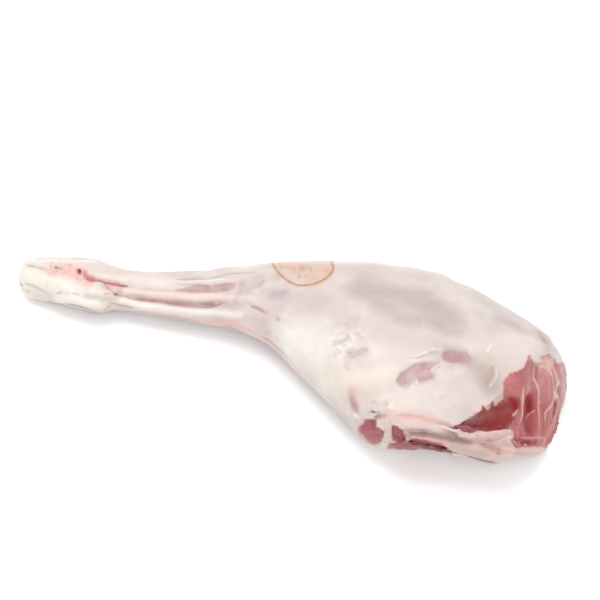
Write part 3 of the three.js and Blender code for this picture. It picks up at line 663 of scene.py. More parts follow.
# %% Strokes on the bare meat
MEAT_STROKES = [
    ("upper left", "meat_pale", 0.9, 9.0, 0.6, [(512, 382), (514, 392)]),
    ("tongue", "meat_mauve", 0.8, 3.6, 0.0, [(529, 361), (529, 374), (530, 390)]),
    ("tongue top", "window_deep", 0.6, 3.4, 0.0, [(530, 360), (531, 368)]),
    ("upper right", "meat_pale", 0.9, 7.5, 0.8, [(545, 378), (548, 392)]),
    # A painted highlight on the wet meat.
    ("shine", "seam", 0.3, 2.2, 0.0, [(541, 370), (546, 372.5)]),
    ("deep wedge", "meat_deep", 0.65, 8.0, 0.0, [(482, 422), (490, 419), (498, 414), (512, 408)]),
    # Painted light: the wedge's left part is lighter than its deep red to offset the hollow's shade, and
    # so is its pale edge.
    ("wedge left", "meat", 0.8, 4.2, 0.0, [(463, 426), (472, 423), (480, 419)]),
    ("wedge edge", "meat_mauve", 0.8, 1.8, 0.3, [(458, 427), (464, 423.5), (472, 420), (479, 415)]),
    ("wedge foot", "meat", 0.9, 3.2, 0.0, [(472, 430), (481, 430), (490, 429.5), (496, 429)]),
    ("wedge right", "band_meat", 0.8, 3.8, 0.0, [(499, 429.5), (507, 427), (511, 421)]),
    ("wedge glow", "meat_dark", 0.6, 4.5, 0.0, [(498, 409), (507, 405), (516, 403)]),
    ("deep right", "meat_deep", 0.9, 6.5, 0.0, [(530, 414), (530, 430)]),
    ("low right", "meat", 0.8, 6.0, 0.0, [(546, 412), (546, 430)]),
    ("wedge bright", "red", 0.35, 3.0, 0.0, [(500, 405), (508, 402)]),
    ("wedge low", "meat_dark", 0.7, 5.0, 0.0, [(492, 425.5), (503, 423), (512, 418)]),
    ("wedge mauve", "meat_mauve", 0.4, 2.4, 0.3, [(472, 422), (482, 420), (490, 416)]),
    ("outer strip", "outer", 0.9, 5.4, 0.8, [(562, 366), (564, 380), (565, 396), (562, 412)]),
    ("rim fat", "seam", 0.9, 1.6, 0.3, [(553, 366), (557, 374), (558, 384), (557, 392)]),
    ("rim fat spot", "blush", 0.9, 2.2, 0.6, [(555.5, 393), (557, 397)]),
    ("rim fat spot two", "blush", 0.8, 1.8, 0.6, [(559, 381), (558, 386)]),
    ("rim foot", "seam", 0.5, 3.0, 0.0, [(556, 420), (550, 434), (545, 443)]),
    ("outer low", "red", 0.5, 2.6, 0.0, [(554, 424), (548, 440)]),
    ("strip light", "seam", 0.7, 1.0, 0.3,
     [(556, 393), (558.5, 397), (559.5, 404), (557.5, 412), (555.5, 422)]),
    ("strip dark", "meat_dark", 0.5, 1.2, -0.8, [(556, 402), (556, 412), (552, 424)]),
    ("strip sand", "sand", 0.6, 1.6, 0.0, [(556.5, 383), (557, 392)]),
    ("tan fat", "tan_fat", 0.95, 5.2, 0.6, [(543, 361), (552, 364)]),
    ("tan pink", "rose", 0.5, 1.8, 0.0, [(546, 358), (549, 360)]),
    # The pits are dark red meat in real hollows, with painted shade at their bottoms.
    ("pit one", "pit", 1.0, 3.6, -0.9, [(528.5, 398.5), (531.5, 405), (529, 412)]),
    ("pit one core", "pit_core", 0.9, 2.4, -0.6, [(530, 403.5), (531, 407), (529.5, 411)]),
    ("pit one low", "pit", 0.6, 1.8, -0.8, [(526, 412), (527.5, 416)]),
    ("pit two", "meat_dark", 0.85, 3.2, -0.8, [(526, 420), (529, 430)]),
    ("small pit", "pit", 0.9, 2.4, -0.8, [(511, 400.5), (515.5, 404), (517, 409)]),
    ("small pit core", "pit_core", 0.5, 1.3, -0.5, [(514.5, 403.5), (516.5, 408)]),
    ("wedge spot", "pit", 0.6, 1.2, -0.9, [(498.5, 426.5)]),
    ("crumble", "meat_dark", 0.85, 3.2, -0.9, [(518, 442.5), (527, 444.5), (536, 443.5)]),
    ("crumble deep", "blood", 0.5, 1.6, -0.6, [(521, 443.5), (527, 445), (531, 442)]),
    ("seam a", "seam", 0.95, 1.3, 0.7,
     [(523.7, 388), (523.2, 396), (523.6, 408), (523.2, 417), (520.5, 424)]),
    ("seam a shade", "meat_dark", 0.5, 1.0, -0.8, [(526, 392), (526, 418)]),
    ("seam a faint", "seam", 0.35, 0.8, 0.3, [(519, 430), (519, 438)]),
    ("seam b", "seam", 0.9, 0.9, 0.6,
     [(535.7, 365), (533.2, 377.5), (537.5, 384.6), (539.7, 393.6), (539.3, 408), (540.3, 420),
      (540, 432)]),
    ("seam b foot", "seam", 0.5, 0.7, 0.3, [(537, 410), (531, 414), (528, 418)]),
    ("seam c", "seam", 1.0, 1.3, 0.6,
     [(536, 365), (543, 366), (549, 369.5), (553.6, 375.7), (554.6, 390), (554.6, 400.7), (552.7, 406),
      (547.3, 409.6), (545.5, 415.9), (546.4, 422)]),
    ("seam d", "seam", 0.8, 0.9, 0.5, [(519, 409.5), (516.5, 413.8), (512.5, 415.6)]),
    ("foot line", "seam", 0.45, 0.9, 0.4, [(521, 437.5), (530, 438.4), (539, 437.6), (547, 438.4)]),
    ("crumb one", "seam", 0.8, 0.8, 0.5, [(520, 442.5), (522, 444)]),
    ("crumb two", "seam", 0.8, 0.7, 0.5, [(526, 446), (529, 445)]),
    ("patches", "patch", 1.0, 14.0, 0.0, [(368, 430), (400, 436)]),
    ("patch line", "meat_pale", 0.5, 0.9, 0.2, [(366, 432.5), (373, 432.8), (381, 433.5)]),
    ("patch dark", "meat_dark", 0.5, 2.0, -0.4, [(373, 422), (374, 428)]),
    ("band patch", "band_meat", 1.0, 9.0, 0.5, [(392, 446), (412, 447), (436, 450), (456, 456)]),
    # Painted shadow under the band's edge: a dark line, then umber over the dark meat below it.
    ("band shade line", "band_meat_in_shade", 0.8, 1.4, -0.2,
     [(409, 440.8), (414, 441.2), (421, 442.3), (430, 444.4), (438, 446)]),
    ("band deep", "umber", 0.35, 4.0, 0.3, [(424, 448.5), (434, 450.5), (446, 453.5)]),
    ("band brown", "umber", 0.6, 3.0, 0.0, [(440, 448), (446, 450.5), (452, 453)]),
    ("band flecks", "seam", 0.5, 0.9, 0.4, [(415, 447.5), (420, 448.5)]),
]
ALL_STROKES = FELL_STROKES + WINDOW_STROKES + MEAT_STROKES
print(len(MEAT_STROKES), "strokes on the bare meat")

# %% [markdown]
# The inspection stamp is an oval ring of edible ink on the far side of the thigh, with a few short
# bars in it. Its middle lies almost on the outline of the leg, so about half of it is on the side
# that the camera doesn't see. There the way over the skin takes the place of the height in the
# picture. The ring isn't a true oval: it is tilted and a little pointed, because the skin under the
# stamp is curved. A curve laid on the skin would be raised, but ink has no height, so it is colour.

# %% Where the stamp is
STAMP_MIDDLE = (302.2, 262.4)
STAMP_LONG = 31.5
STAMP_TALL = 23.1
STAMP_TURN = 0.237
STAMP_FULLNESS = 1.67


def share_of_stamp(view):
    """How far each point is from the middle of the stamp, 1 on its ring."""
    places = view["places"][view["source"]]
    right = places[:, 0] - STAMP_MIDDLE[0]
    down = places[:, 1] - STAMP_MIDDLE[1] - view["way"]
    along = np.abs(right * math.cos(STAMP_TURN) + down * math.sin(STAMP_TURN)) / STAMP_LONG
    across = np.abs(down * math.cos(STAMP_TURN) - right * math.sin(STAMP_TURN)) / STAMP_TALL
    return (along ** STAMP_FULLNESS + across ** STAMP_FULLNESS) ** (1 / STAMP_FULLNESS)


print("the stamp is", round(2 * STAMP_LONG * float(dot[0])), "mm long")


# %% Even out a number over the skin
EVENING_ROUNDS = 8


def evened(piece, values):
    """A number for each point, evened out a few times with those of the points beside it."""
    ends = np.empty(len(piece.data.edges) * 2, np.int32)
    piece.data.edges.foreach_get("vertices", ends)
    one, two = ends.reshape(-1, 2).T
    points = len(values)
    count = np.bincount(ends, minlength=points) + 1
    for _ in range(EVENING_ROUNDS):
        total = values + np.bincount(one, values[two], points) + np.bincount(two, values[one], points)
        values = total / count
    return values


# %% Ink of the ring, the bars and the wash
RING_HALF = 1.1
RING_SOLID, RING_END = 0.3, 1.6
RING_TONE, RING_UNEVEN = 0.85, 0.2
BAR_TONE = 0.45
BAR_SIDE = (-1.6, -0.7)
BAR_TOP_OUT, BAR_TOP_IN = 0.7, 0.2
BARS = [(282, 267, 1.6), (286.5, 267.5, 2.2), (290.5, 268, 1.4), (294.5, 267.5, 2.6), (299, 267.5, 3.0),
        (303, 268.5, 3.0), (306.5, 267, 2.4), (311, 270, 2.6), (299.5, 276.5, 1.6), (306.5, 277, 2.6)]
WASH_LEAST = 0.2
WASH_EDGE = (-1.08, -0.9)
HALO_TONE, HALO_WIDTH = 0.75, 3.0
WASHES = [(280, 267, 6.0), (292, 266, 7.0), (303, 269, 8.0),
          (312, 281, 7.0), (329, 271, 7.0), (305, 283, 5.0)]


def ring_ink(view, from_ring):
    """How much ink the ring leaves on each point, with a line that is not quite even."""
    ring = 1 - smooth_step(from_ring, RING_HALF * RING_SOLID, RING_HALF * RING_END)
    return ring * (RING_TONE + RING_UNEVEN * view["waver"])


def bar_ink(view):
    """How much ink the short bars leave on each point that the camera sees."""
    places = view["places"][view["source"]]
    ink = np.zeros(len(places))
    for x, y, half in BARS:
        wide = smooth_step(-np.abs(places[:, 0] - x), *BAR_SIDE)
        tall = smooth_step(-np.abs(places[:, 1] - y), -half - BAR_TOP_OUT, -half + BAR_TOP_IN)
        ink = np.maximum(ink, BAR_TONE * wide * tall * (view["way"] < 1))
    return ink


def washed_ink(view, share, from_ring):
    """How much thin ink has run over each point, inside the ring and close to its line."""
    places = view["places"][view["source"]]
    wash = np.full(len(places), WASH_LEAST)
    for x, y, radius in WASHES:
        away = (places[:, 0] - x) ** 2 + (places[:, 1] - y) ** 2
        wash = np.maximum(wash, np.exp(-away / radius ** 2))
    halo = HALO_TONE * np.exp(-(from_ring / HALO_WIDTH) ** 2)
    return np.maximum(wash * smooth_step(-share, *WASH_EDGE), halo)


def ink_at(view):
    """How much ink each point has in lines, and how much as a wash."""
    share = share_of_stamp(view)
    share = np.where(view["seen"], share, evened(leg, share))
    from_ring = np.abs(share - 1) * (STAMP_LONG + STAMP_TALL) / 2
    lines = np.maximum(ring_ink(view, from_ring), bar_ink(view))
    return np.clip(lines, 0, 1), washed_ink(view, share, from_ring)


# %% [markdown]
# The mesh only has to be fine where something small is drawn. So the faces near a narrow stroke or
# an outline are cut in four, once or twice. A finer mesh everywhere would cost ten times as much
# for the same picture.


# %% Lay all strokes and outlines on the skin
CORNER_ROUNDS = 5
FINE, FINEST = 2.2, 1.25


def closed(outline):
    """An outline with its first corner once more at its end."""
    return outline + outline[:1]


def lines_up_to(half_width):
    """The laid lines of all strokes of at most a half width."""
    return [STROKE_LINES[name] for name, _, _, half, _, _ in ALL_STROKES if half <= half_width]


STROKE_LINES = {name: smoothed(laid(line), CORNER_ROUNDS) for name, _, _, _, _, line in ALL_STROKES}
AREA_LINES = {name: laid(closed(line)) for name, line in {**BARE, **WINDOWS}.items()}
BARE_LINES = [AREA_LINES[name] for name in BARE]
print(len(lines_up_to(FINE)), "strokes are narrow,", len(lines_up_to(FINEST)), "of them very narrow")

# %% Places that need a finer mesh besides the narrow strokes
STAMP_INSET = 2
STAMP_CENTRE = seen_at(STAMP_MIDDLE[0], STAMP_MIDDLE[1] + STAMP_INSET)
STAMP_REACH = 34.0
RING_REACH = 0.12
BONE_REACH = 3.0
CRUMPLED = [(349, 346, 15.0), (378, 410, 8.0), (433, 350, 7.0), (62, 269, 7.0), (440, 404, 8.0)]
CRUMPLED_FROM = 0.3


def on_cut_face(centres):
    """Which points lie on the sawn face and the torn wedge beside it."""
    return own_depth(centres, BARE["cut face"]) > 0


def near_stamp(centres):
    """Which points lie on the stamp or just beside it."""
    return np.linalg.norm(centres - STAMP_CENTRE, axis=1) < STAMP_REACH


def on_ring(centres):
    """Which points lie on the stamp's ring, on the side that the camera sees or on the other one."""
    near = np.flatnonzero(near_stamp(centres))
    towards_camera = np.array(EYE) / MM - centres[near]
    view = view_of_points(centres[near], towards_camera)
    found = np.zeros(len(centres), bool)
    found[near] = np.abs(share_of_stamp(view) - 1) < RING_REACH
    return found


def near_bone(centres):
    """Which points lie beside one of the bones."""
    found = np.zeros(len(centres), bool)
    for tree in TREES[1:]:
        hits = [tree.find_nearest(Vector(place * MM), BONE_REACH * MM)[0] for place in centres]
        found |= np.array([hit is not None for hit in hits])
    return found


def crumpled_at(points):
    """How crumpled the skin is at each point, from 0 to 1."""
    shares = []
    for x, y, radius in CRUMPLED:
        away = np.linalg.norm(points - seen_at(x, y), axis=1)
        shares.append(np.exp(-(away / radius) ** 2))
    return np.max(shares, axis=0)


def needs_detail(centres):
    """Which points lie where the meat, the stamp, a joint or crumpled skin needs a finer mesh."""
    detailed = on_cut_face(centres) | near_stamp(centres) | near_bone(centres)
    return detailed | (crumpled_at(centres) > CRUMPLED_FROM)


# %% Cut the leg's skin finer, twice
FIRST_CUT, SECOND_CUT = 4.0, 1.5


def cut_finer(piece, lines, reach, extra):
    """Cuts the faces of a piece in four that are within reach of a line, or that extra finds."""
    centres = np.array([face.center for face in piece.data.polygons]) / MM
    chosen = np.zeros(len(centres), bool)
    for line in lines:
        chosen |= distances(centres, line, reach) < reach
    chosen |= extra(centres)
    only(piece)
    bpy.ops.object.mode_set(mode="EDIT")
    bpy.ops.mesh.select_all(action="DESELECT")
    bpy.ops.object.mode_set(mode="OBJECT")
    piece.data.polygons.foreach_set("select", chosen)
    bpy.ops.object.mode_set(mode="EDIT")
    bpy.ops.mesh.select_mode(type="FACE")
    bpy.ops.mesh.subdivide(number_cuts=1)
    bpy.ops.mesh.vertices_smooth(factor=SMOOTHING, repeat=2)
    bpy.ops.object.mode_set(mode="OBJECT")
    print(piece.name, "has", triangles(piece), "triangles after a cut within", reach, "mm")


cut_finer(leg, lines_up_to(FINE) + list(AREA_LINES.values()), FIRST_CUT, needs_detail)
cut_finer(leg, lines_up_to(FINEST) + BARE_LINES, SECOND_CUT, on_ring)


# %% [markdown]
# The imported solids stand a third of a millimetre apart, and smoothing has rounded their rims. That
# would leave a dark ditch round each bone, while on a real leg the skin closes tightly round it. So
# one more skin is laid over all three solids together, and near a joint the points of each piece
# are drawn to it. Joining the three would close the ditch as well, but then bone and meat would no
# longer be pieces of their own.


# %% A common skin over all three solids
TREES = [search_tree(piece) for piece in PIECES]
whole = skin_of(list(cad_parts), "whole_skin", LEG_VOXEL, LEG_ROUNDS)
whole_tree = search_tree(whole)
bpy.data.objects.remove(whole)


# %% Draw the points beside a joint to the common skin
JOINT_NEAR, JOINT_FAR = 2.0, 5.0
SHALLOW, DEEP = 2.4, 4.2


def place_points(piece, points):
    """Gives a piece's vertices new places, in millimetres."""
    piece.data.vertices.foreach_set("co", (points * MM).astype(np.float32).ravel())
    piece.data.update()


def drawn_to_joint(piece):
    """The points of a piece, those near another piece drawn to the common skin unless they lie deep."""
    others = [tree for other, tree in zip(PIECES, TREES) if other != piece]
    points = points_of(piece)
    moved = 0
    for index, point in enumerate(points):
        place = Vector(point * MM)
        gaps = [tree.find_nearest(place, JOINT_FAR * MM)[3] for tree in others]
        gaps = [gap / MM for gap in gaps if gap is not None]
        if gaps:
            onto, _, _, depth = whole_tree.find_nearest(place)
            near = 1 - smooth_step(min(gaps), JOINT_NEAR, JOINT_FAR)
            share = near * (1 - smooth_step(depth / MM, SHALLOW, DEEP))
            points[index] += share * (np.array(onto) / MM - point)
            moved += share > 0
    print(piece.name, "has", moved, "points drawn to the common skin")
    return points


for piece, points in [(piece, drawn_to_joint(piece)) for piece in PIECES]:
    place_points(piece, points)


# %% Let the bones bite a little into the meat
BITE_FROM, BITE = 0.15, 1.0


def bitten(piece):
    """The points of a bone, its hidden wall pushed into the meat so that no slit stays open."""
    points, normals = points_of(piece), normals_of(piece)
    for index, point in enumerate(points):
        place = Vector(point * MM)
        depth = whole_tree.find_nearest(place)[3] / MM
        if depth > BITE_FROM and TREES[0].find_nearest(place, JOINT_NEAR * MM)[0] is not None:
            points[index] += normals[index] * BITE * smooth_step(depth, BITE_FROM, 2 * BITE_FROM)
    return points


for piece in (hock, aitch):
    place_points(piece, bitten(piece))
TREES = [search_tree(piece) for piece in PIECES]
print("the bones' hidden walls go up to", BITE, "mm into the meat")


# %% [markdown]
# The relief moves each point along its normal. Strokes raise or lower it, the bare meat lies a
# little below the torn skin, and the skin's edge is slightly curled up. The meat gets small lumps.
# A bump in the material would be quicker, but it has no outline and no real shadow, so it is kept
# for the grain alone.


# %% Uneven noise
WAVER = [(1.0, 3.0, 6)]
WIDE_WAVER = [(1.0, 12.0, 7), (0.5, 5.0, 8)]
BLOTCHES = [(1.5, 26.0, 12), (0.6, 9.0, 13)]
FINE_BLOTCHES = [(1.2, 6.0, 14), (0.5, 2.4, 15)]
RAGGED = [(0.9, 3.1, 1), (0.45, 1.3, 2)]
MEAT_LUMPS = [(0.3, 4.2, 3), (0.2, 1.7, 4)]
SKIN_LUMPS = [(0.22, 9.0, 5)]
FOLD_STRETCH = np.array([0.7, 1.0, 1.0])
FOLD_DEPTH, FOLD_SPACING, FOLD_SEED = 3.0, 4.0, 10
PUCKERS = [(0.4, 1.9, 11)]


def lumps(points, spacing, seed):
    """Smooth noise from -1 to 1 with bumps about a spacing apart."""
    shift = Vector((seed * 17.3, seed * 5.1, -seed * 9.7))
    return np.array([noise.noise(Vector(p) / spacing + shift) for p in points])


def layered(points, layers):
    """Noise in layers, each with its strength, its spacing in millimetres and its seed."""
    return sum(strength * lumps(points, spacing, seed) for strength, spacing, seed in layers)


def creases(points):
    """Smooth noise from about -1 to 1 with narrow folds, drawn out like the crumpled skin."""
    folds = np.abs(lumps(points * FOLD_STRETCH, FOLD_SPACING, FOLD_SEED))
    return 1 - FOLD_DEPTH * folds + layered(points, PUCKERS)


# %% How deep in bare meat or in a window each point is
WINDOW_RAGGED = 0.8
WEDGE_RIM = [(456, 426.5), (466, 421), (478, 413.5), (486, 409), (494, 404), (501, 400)]
WEDGE_WALL = [(451, 425), (470, 408), (486, 398), (502, 390),
              (509, 400), (492, 416), (470, 426), (456, 430)]
RIM_REACH, RIM_FADE, RIM_GAIN = 17.0, 2.0, 9.0


def deepest(view, outlines):
    """How deep each point is inside the outline that it is deepest in."""
    return np.max([depth_inside(view, outline) for outline in outlines.values()], axis=0)


def under_rim(view):
    """What makes meat of the wall under the skin's edge at the wedge, which the camera doesn't see."""
    gap = distances(view["points"], laid(WEDGE_RIM), RIM_REACH)
    depth = np.minimum(RIM_REACH - gap, own_depth(view["points"], WEDGE_WALL))
    return np.where(view["seen"], 0, RIM_GAIN * smooth_step(depth, 0, RIM_FADE))


def noted(view):
    """Adds to a view the noise and the depths that relief and colour need."""
    points = view["points"]
    ragged = layered(points, RAGGED)
    view["waver"] = layered(points, WAVER)
    view["wide waver"] = layered(points, WIDE_WAVER)
    view["blotches"] = layered(points, BLOTCHES)
    view["fine blotches"] = layered(points, FINE_BLOTCHES)
    view["bare"] = deepest(view, BARE) + ragged + under_rim(view)
    view["windows"] = deepest(view, WINDOWS) + WINDOW_RAGGED * ragged
    view["crumpled"] = crumpled_at(points)
    view["creases"] = creases(points)
    return view


views = {piece.name: noted(view_of_points(points_of(piece), normals_of(piece))) for piece in PIECES}
for name, view in views.items():
    print(name, "has", round(float((view["bare"] > 0).mean()) * 100, 1), "% bare meat")

# %% Relief
NARROW = 2.0
UNEVEN_WIDTH = 0.35
SKIN_THICKNESS = 1.0
SKIN_EDGE = (-0.5, 0.5)
CURL, CURL_PLACE, CURL_WIDTH = 0.5, 1.0, 0.8
WINDOW_DEPTH = 0.45
WINDOW_EDGE = (-0.4, 0.8)
CRUMPLE_HEIGHT = 0.42


def share_of_width(view, name, half_width):
    """How far each point is from a stroke's line, in half widths of the stroke, which waver a little."""
    narrow = half_width <= NARROW
    far = distances(view["points"], STROKE_LINES[name], 3 * half_width, pointed=narrow)
    waver = view["waver"] if narrow else view["wide waver"]
    return far / half_width * (1 + UNEVEN_WIDTH * waver)


def raised(view, strokes):
    """The height of the strokes at each point."""
    height = np.zeros(len(view["points"]))
    for name, _, _, half_width, stroke_height, _ in strokes:
        if stroke_height:
            height += stroke_height * np.exp(-share_of_width(view, name, half_width) ** 2)
    return height


def relief(view):
    """How far each point is moved along its normal, in millimetres."""
    height = raised(view, ALL_STROKES)
    inside = smooth_step(view["bare"], *SKIN_EDGE)
    height -= SKIN_THICKNESS * inside
    height += CURL * np.exp(-((view["bare"] + CURL_PLACE) / CURL_WIDTH) ** 2)
    height -= WINDOW_DEPTH * smooth_step(view["windows"], *WINDOW_EDGE)
    height += inside * layered(view["points"], MEAT_LUMPS)
    height += (1 - inside) * layered(view["points"], SKIN_LUMPS)
    height += (1 - inside) * CRUMPLE_HEIGHT * view["crumpled"] * view["creases"]
    return height


for piece in PIECES:
    heights = relief(views[piece.name])
    place_points(piece, views[piece.name]["points"] + normals_of(piece) * heights[:, None])
    print(piece.name, "moved by", round(heights.min(), 2), "to", round(heights.max(), 2), "mm")


# %% [markdown]
# The colour of each point is mixed from the strokes. Skin and meat are kept as two colours, with
# the depth inside the bare area as a number beside them. The material draws the border between the
# two, so it is sharper than the mesh. A single mixed colour for each point would be simpler, but
# the torn edge would then look as blurred as the mesh is coarse.


# %% Lay one colour over another
STROKE_SHARPNESS = 2.4


def covered(colour, shade, cover):
    """A colour with a share of another one over it."""
    return colour * (1 - cover[:, None]) + COLOURS[shade] * cover[:, None]


def tinted(colour, shade, strength, tone, low, high):
    """A colour with another one over it, which comes in while a tone rises from low to high."""
    return covered(colour, shade, strength * smooth_step(tone, low, high))


def painted(colour, view, strokes):
    """The colour of each point after all strokes."""
    for name, shade, strength, half_width, _, _ in strokes:
        share = share_of_width(view, name, half_width)
        colour = covered(colour, shade, strength * np.exp(-share ** STROKE_SHARPNESS))
    return colour


def plain(points, base):
    """The same colour for each point."""
    return np.tile(COLOURS[base], (len(points), 1))


# %% Colour of skin, windows and meat
BASES = {leg.name: "fell", hock.name: "ivory", aitch.name: "band"}
HOCK_REACH = 12.0


def beside_hock(view):
    """How near each point that the camera doesn't see is to the hock bone, from 0 to 1."""
    gaps = [TREES[1].find_nearest(Vector(point * MM), HOCK_REACH * MM)[3] for point in view["points"]]
    near = np.array([0.0 if gap is None else 1 - gap / MM / HOCK_REACH for gap in gaps])
    return smooth_step(near, 0, 0.9) * ~view["seen"]


def blotched(colour, view):
    """A colour with wide soft blotches, where muscle shines through the skin or fat lies under it."""
    colour = tinted(colour, "mauve", 0.55, view["blotches"], 0.1, 0.9)
    return tinted(colour, "cream", 0.5, -view["blotches"], 0.1, 0.9)


def window_colours(view):
    """Muscle that shines through thin skin, in lighter and deeper spots."""
    colour = plain(view["points"], "window")
    colour = tinted(colour, "window_light", 0.5, view["fine blotches"], 0.0, 0.7)
    return tinted(colour, "window_deep", 0.5, -view["fine blotches"], 0.0, 0.8)


def skin_colours(piece, view):
    """The skin's colour: strokes, painted shade and highlight on crumples, a rosy torn edge, windows on
    top.
    """
    colour = blotched(plain(view["points"], BASES[piece.name]), view)
    colour = painted(colour, view, FELL_STROKES)
    # Painted shade in the valleys of the crumpled skin and a painted highlight on its ridges, over its
    # real folds.
    colour = tinted(colour, "mauve", 0.4 * view["crumpled"], -view["creases"], -0.4, 0.6)
    colour = tinted(colour, "white", 0.28 * view["crumpled"], view["creases"], 0.5, 1.0)
    colour = tinted(colour, "rose", 0.45, view["bare"], -2.2, -0.2)
    if piece == leg:
        colour = covered(colour, "ivory", 0.8 * beside_hock(view))
    through = smooth_step(view["windows"], -0.7, 0.9)[:, None]
    colour = colour * (1 - through) + window_colours(view) * through
    return painted(colour, view, WINDOW_STROKES)


def meat_colours(view):
    """The meat's colour: pale spots, strokes, and a paler rim along the torn skin."""
    colour = tinted(plain(view["points"], "meat"), "meat_pale", 0.4, view["fine blotches"], 0.0, 0.8)
    colour = painted(colour, view, MEAT_STROKES)
    return covered(colour, "seam", 0.25 * (1 - smooth_step(view["bare"], 0.2, 2.0)))


# %% Keep the colours and the ink with the points
def store(piece, name, values):
    """Keeps a number or a colour for each point of a piece."""
    if values.ndim == 1:
        attribute = piece.data.attributes.new(name, "FLOAT", "POINT")
        attribute.data.foreach_set("value", values.astype(np.float32))
    else:
        attribute = piece.data.attributes.new(name, "FLOAT_COLOR", "POINT")
        with_alpha = np.ones((len(values), 4), np.float32)
        with_alpha[:, :3] = values
        attribute.data.foreach_set("color", with_alpha.ravel())


for piece in PIECES:
    view = views[piece.name]
    store(piece, "skin_colour", skin_colours(piece, view))
    store(piece, "meat_colour", meat_colours(view))
    store(piece, "bare", view["bare"])
ink, wash = ink_at(views[leg.name])
store(leg, "ink", ink)
store(leg, "in_oval", wash)
for name in ("ink", "in_oval"):
    store(aitch, name, np.zeros(len(aitch.data.vertices)))
print("the stamp's lines cover", int((ink > 0.5).sum()), "points of the leg")


# %% [markdown]
# One material does skin and meat. Moist flesh lets light in a little way, so it has subsurface
# scattering, and a thin wet film on top, a coat. Fine noise breaks up the colours and gives the
# surface its grain. Two materials would need a border along the faces, which is jagged, while the
# torn edge of the skin runs across them.


# %% Helpers for materials
def new_material(name):
    """A material with its node tree and its shader."""
    material = bpy.data.materials.new(name)
    material.use_nodes = True
    tree = material.node_tree
    return material, tree, tree.nodes["Principled BSDF"]


def add(tree, kind, inputs, **settings):
    """Adds a node, sets what it is given, and links the inputs that are sockets."""
    made = tree.nodes.new(kind)
    for name, value in settings.items():
        setattr(made, name, value)
    for socket, value in inputs.items():
        if isinstance(value, bpy.types.NodeSocket):
            tree.links.new(value, made.inputs[socket])
        else:
            made.inputs[socket].default_value = value
    return made


def stored(tree, name, output="Fac"):
    """A number or colour that is kept with the points of a piece."""
    return add(tree, "ShaderNodeAttribute", {}, attribute_name=name).outputs[output]


def noise_at(tree, scale, detail, stretch=(1, 1, 1)):
    """Noise in the piece's own space, with a scale per metre."""
    place = add(tree, "ShaderNodeTexCoord", {}).outputs["Object"]
    stretched = add(tree, "ShaderNodeMapping", {"Vector": place, "Scale": stretch}).outputs[0]
    given = {"Vector": stretched, "Scale": scale, "Detail": detail}
    return add(tree, "ShaderNodeTexNoise", given).outputs[0]


def mixed(tree, factor, one, two, blend="MIX"):
    """One colour mixed with another."""
    given = {0: factor, 6: one, 7: two}
    return add(tree, "ShaderNodeMix", given, data_type="RGBA", blend_type=blend).outputs[2]


def ranged(tree, value, low, high, to_low=0.0, to_high=1.0):
    """A value that runs from low to high, made to run from to_low to to_high."""
    given = {"Value": value, "From Min": low, "From Max": high, "To Min": to_low, "To Max": to_high}
    return add(tree, "ShaderNodeMapRange", given).outputs[0]


def combined(tree, one, two, operation="ADD"):
    """Two numbers added, or multiplied."""
    return add(tree, "ShaderNodeMath", {0: one, 1: two}, operation=operation).outputs[0]


def rgba(name):
    """A colour from the list, for a socket."""
    return (*COLOURS[name], 1)


def finish(tree, shader, colour, height, bump, depth, values):
    """Gives a shader its colour, its bump of a height, and the values of its sockets."""
    bumped = add(tree, "ShaderNodeBump", {"Height": height, "Strength": bump, "Distance": depth * MM})
    tree.links.new(colour, shader.inputs["Base Color"])
    tree.links.new(bumped.outputs[0], shader.inputs["Normal"])
    for socket, value in values.items():
        shader.inputs[socket].default_value = value
    print("this material has", len(tree.nodes), "nodes")


# %% Skin with mottles, streaks and the stamp's ink
MOTTLE_SHADE = (0.93, 0.90, 0.89, 1)
STREAK_SHADE = (0.95, 0.925, 0.92, 1)
MOTTLE_STRETCH = (0.6, 1, 1)
STREAK_STRETCH = (0.22, 1, 1)
INK_COVER = 0.85


def mottled_skin(tree):
    """The stored skin colour, darker in small mottles and in streaks along the leg."""
    mottle = ranged(tree, noise_at(tree, 140, 4, MOTTLE_STRETCH), 0.35, 0.65, 0, 0.5)
    streak = ranged(tree, noise_at(tree, 70, 3, STREAK_STRETCH), 0.42, 0.62, 0, 0.6)
    colour = mixed(tree, mottle, stored(tree, "skin_colour", "Color"), MOTTLE_SHADE, "MULTIPLY")
    return mixed(tree, streak, colour, STREAK_SHADE, "MULTIPLY")


def inked(tree, colour):
    """A colour with the stamp's wash and lines over it, both broken up by noise."""
    spread = ranged(tree, noise_at(tree, 150, 2), 0.35, 0.65, 0.35, 0.95)
    speckle = ranged(tree, noise_at(tree, 900, 2), 0.3, 0.55, 0.6, 1.0)
    wash = combined(tree, stored(tree, "in_oval"), spread, "MULTIPLY")
    lines = combined(tree, stored(tree, "ink"), speckle, "MULTIPLY")
    colour = mixed(tree, wash, colour, rgba("ink_wash"))
    return mixed(tree, combined(tree, lines, INK_COVER, "MULTIPLY"), colour, rgba("ink"))


# %% Meat with fibres, and the border between skin and meat
FIBRE_SHADE = (0.86, 0.62, 0.62, 1)
GRAIN_STRETCH = (0.5, 1, 1)
WRINKLE_STRETCH = (0.35, 1, 1)
GRAIN_SHARE, WRINKLE_SHARE = 0.25, 0.6


def fibrous_meat(tree):
    """The stored meat colour, darker between its fibres."""
    fibre = ranged(tree, noise_at(tree, 420, 4), 0.35, 0.7, 0, 0.5)
    return mixed(tree, fibre, stored(tree, "meat_colour", "Color"), FIBRE_SHADE, "MULTIPLY")


def is_meat(tree):
    """1 inside the bare areas and 0 outside, with a finely ragged border."""
    ragged = ranged(tree, noise_at(tree, 1100, 2), 0.3, 0.7, -0.35, 0.35)
    return ranged(tree, combined(tree, stored(tree, "bare"), ragged), -0.15, 0.25)


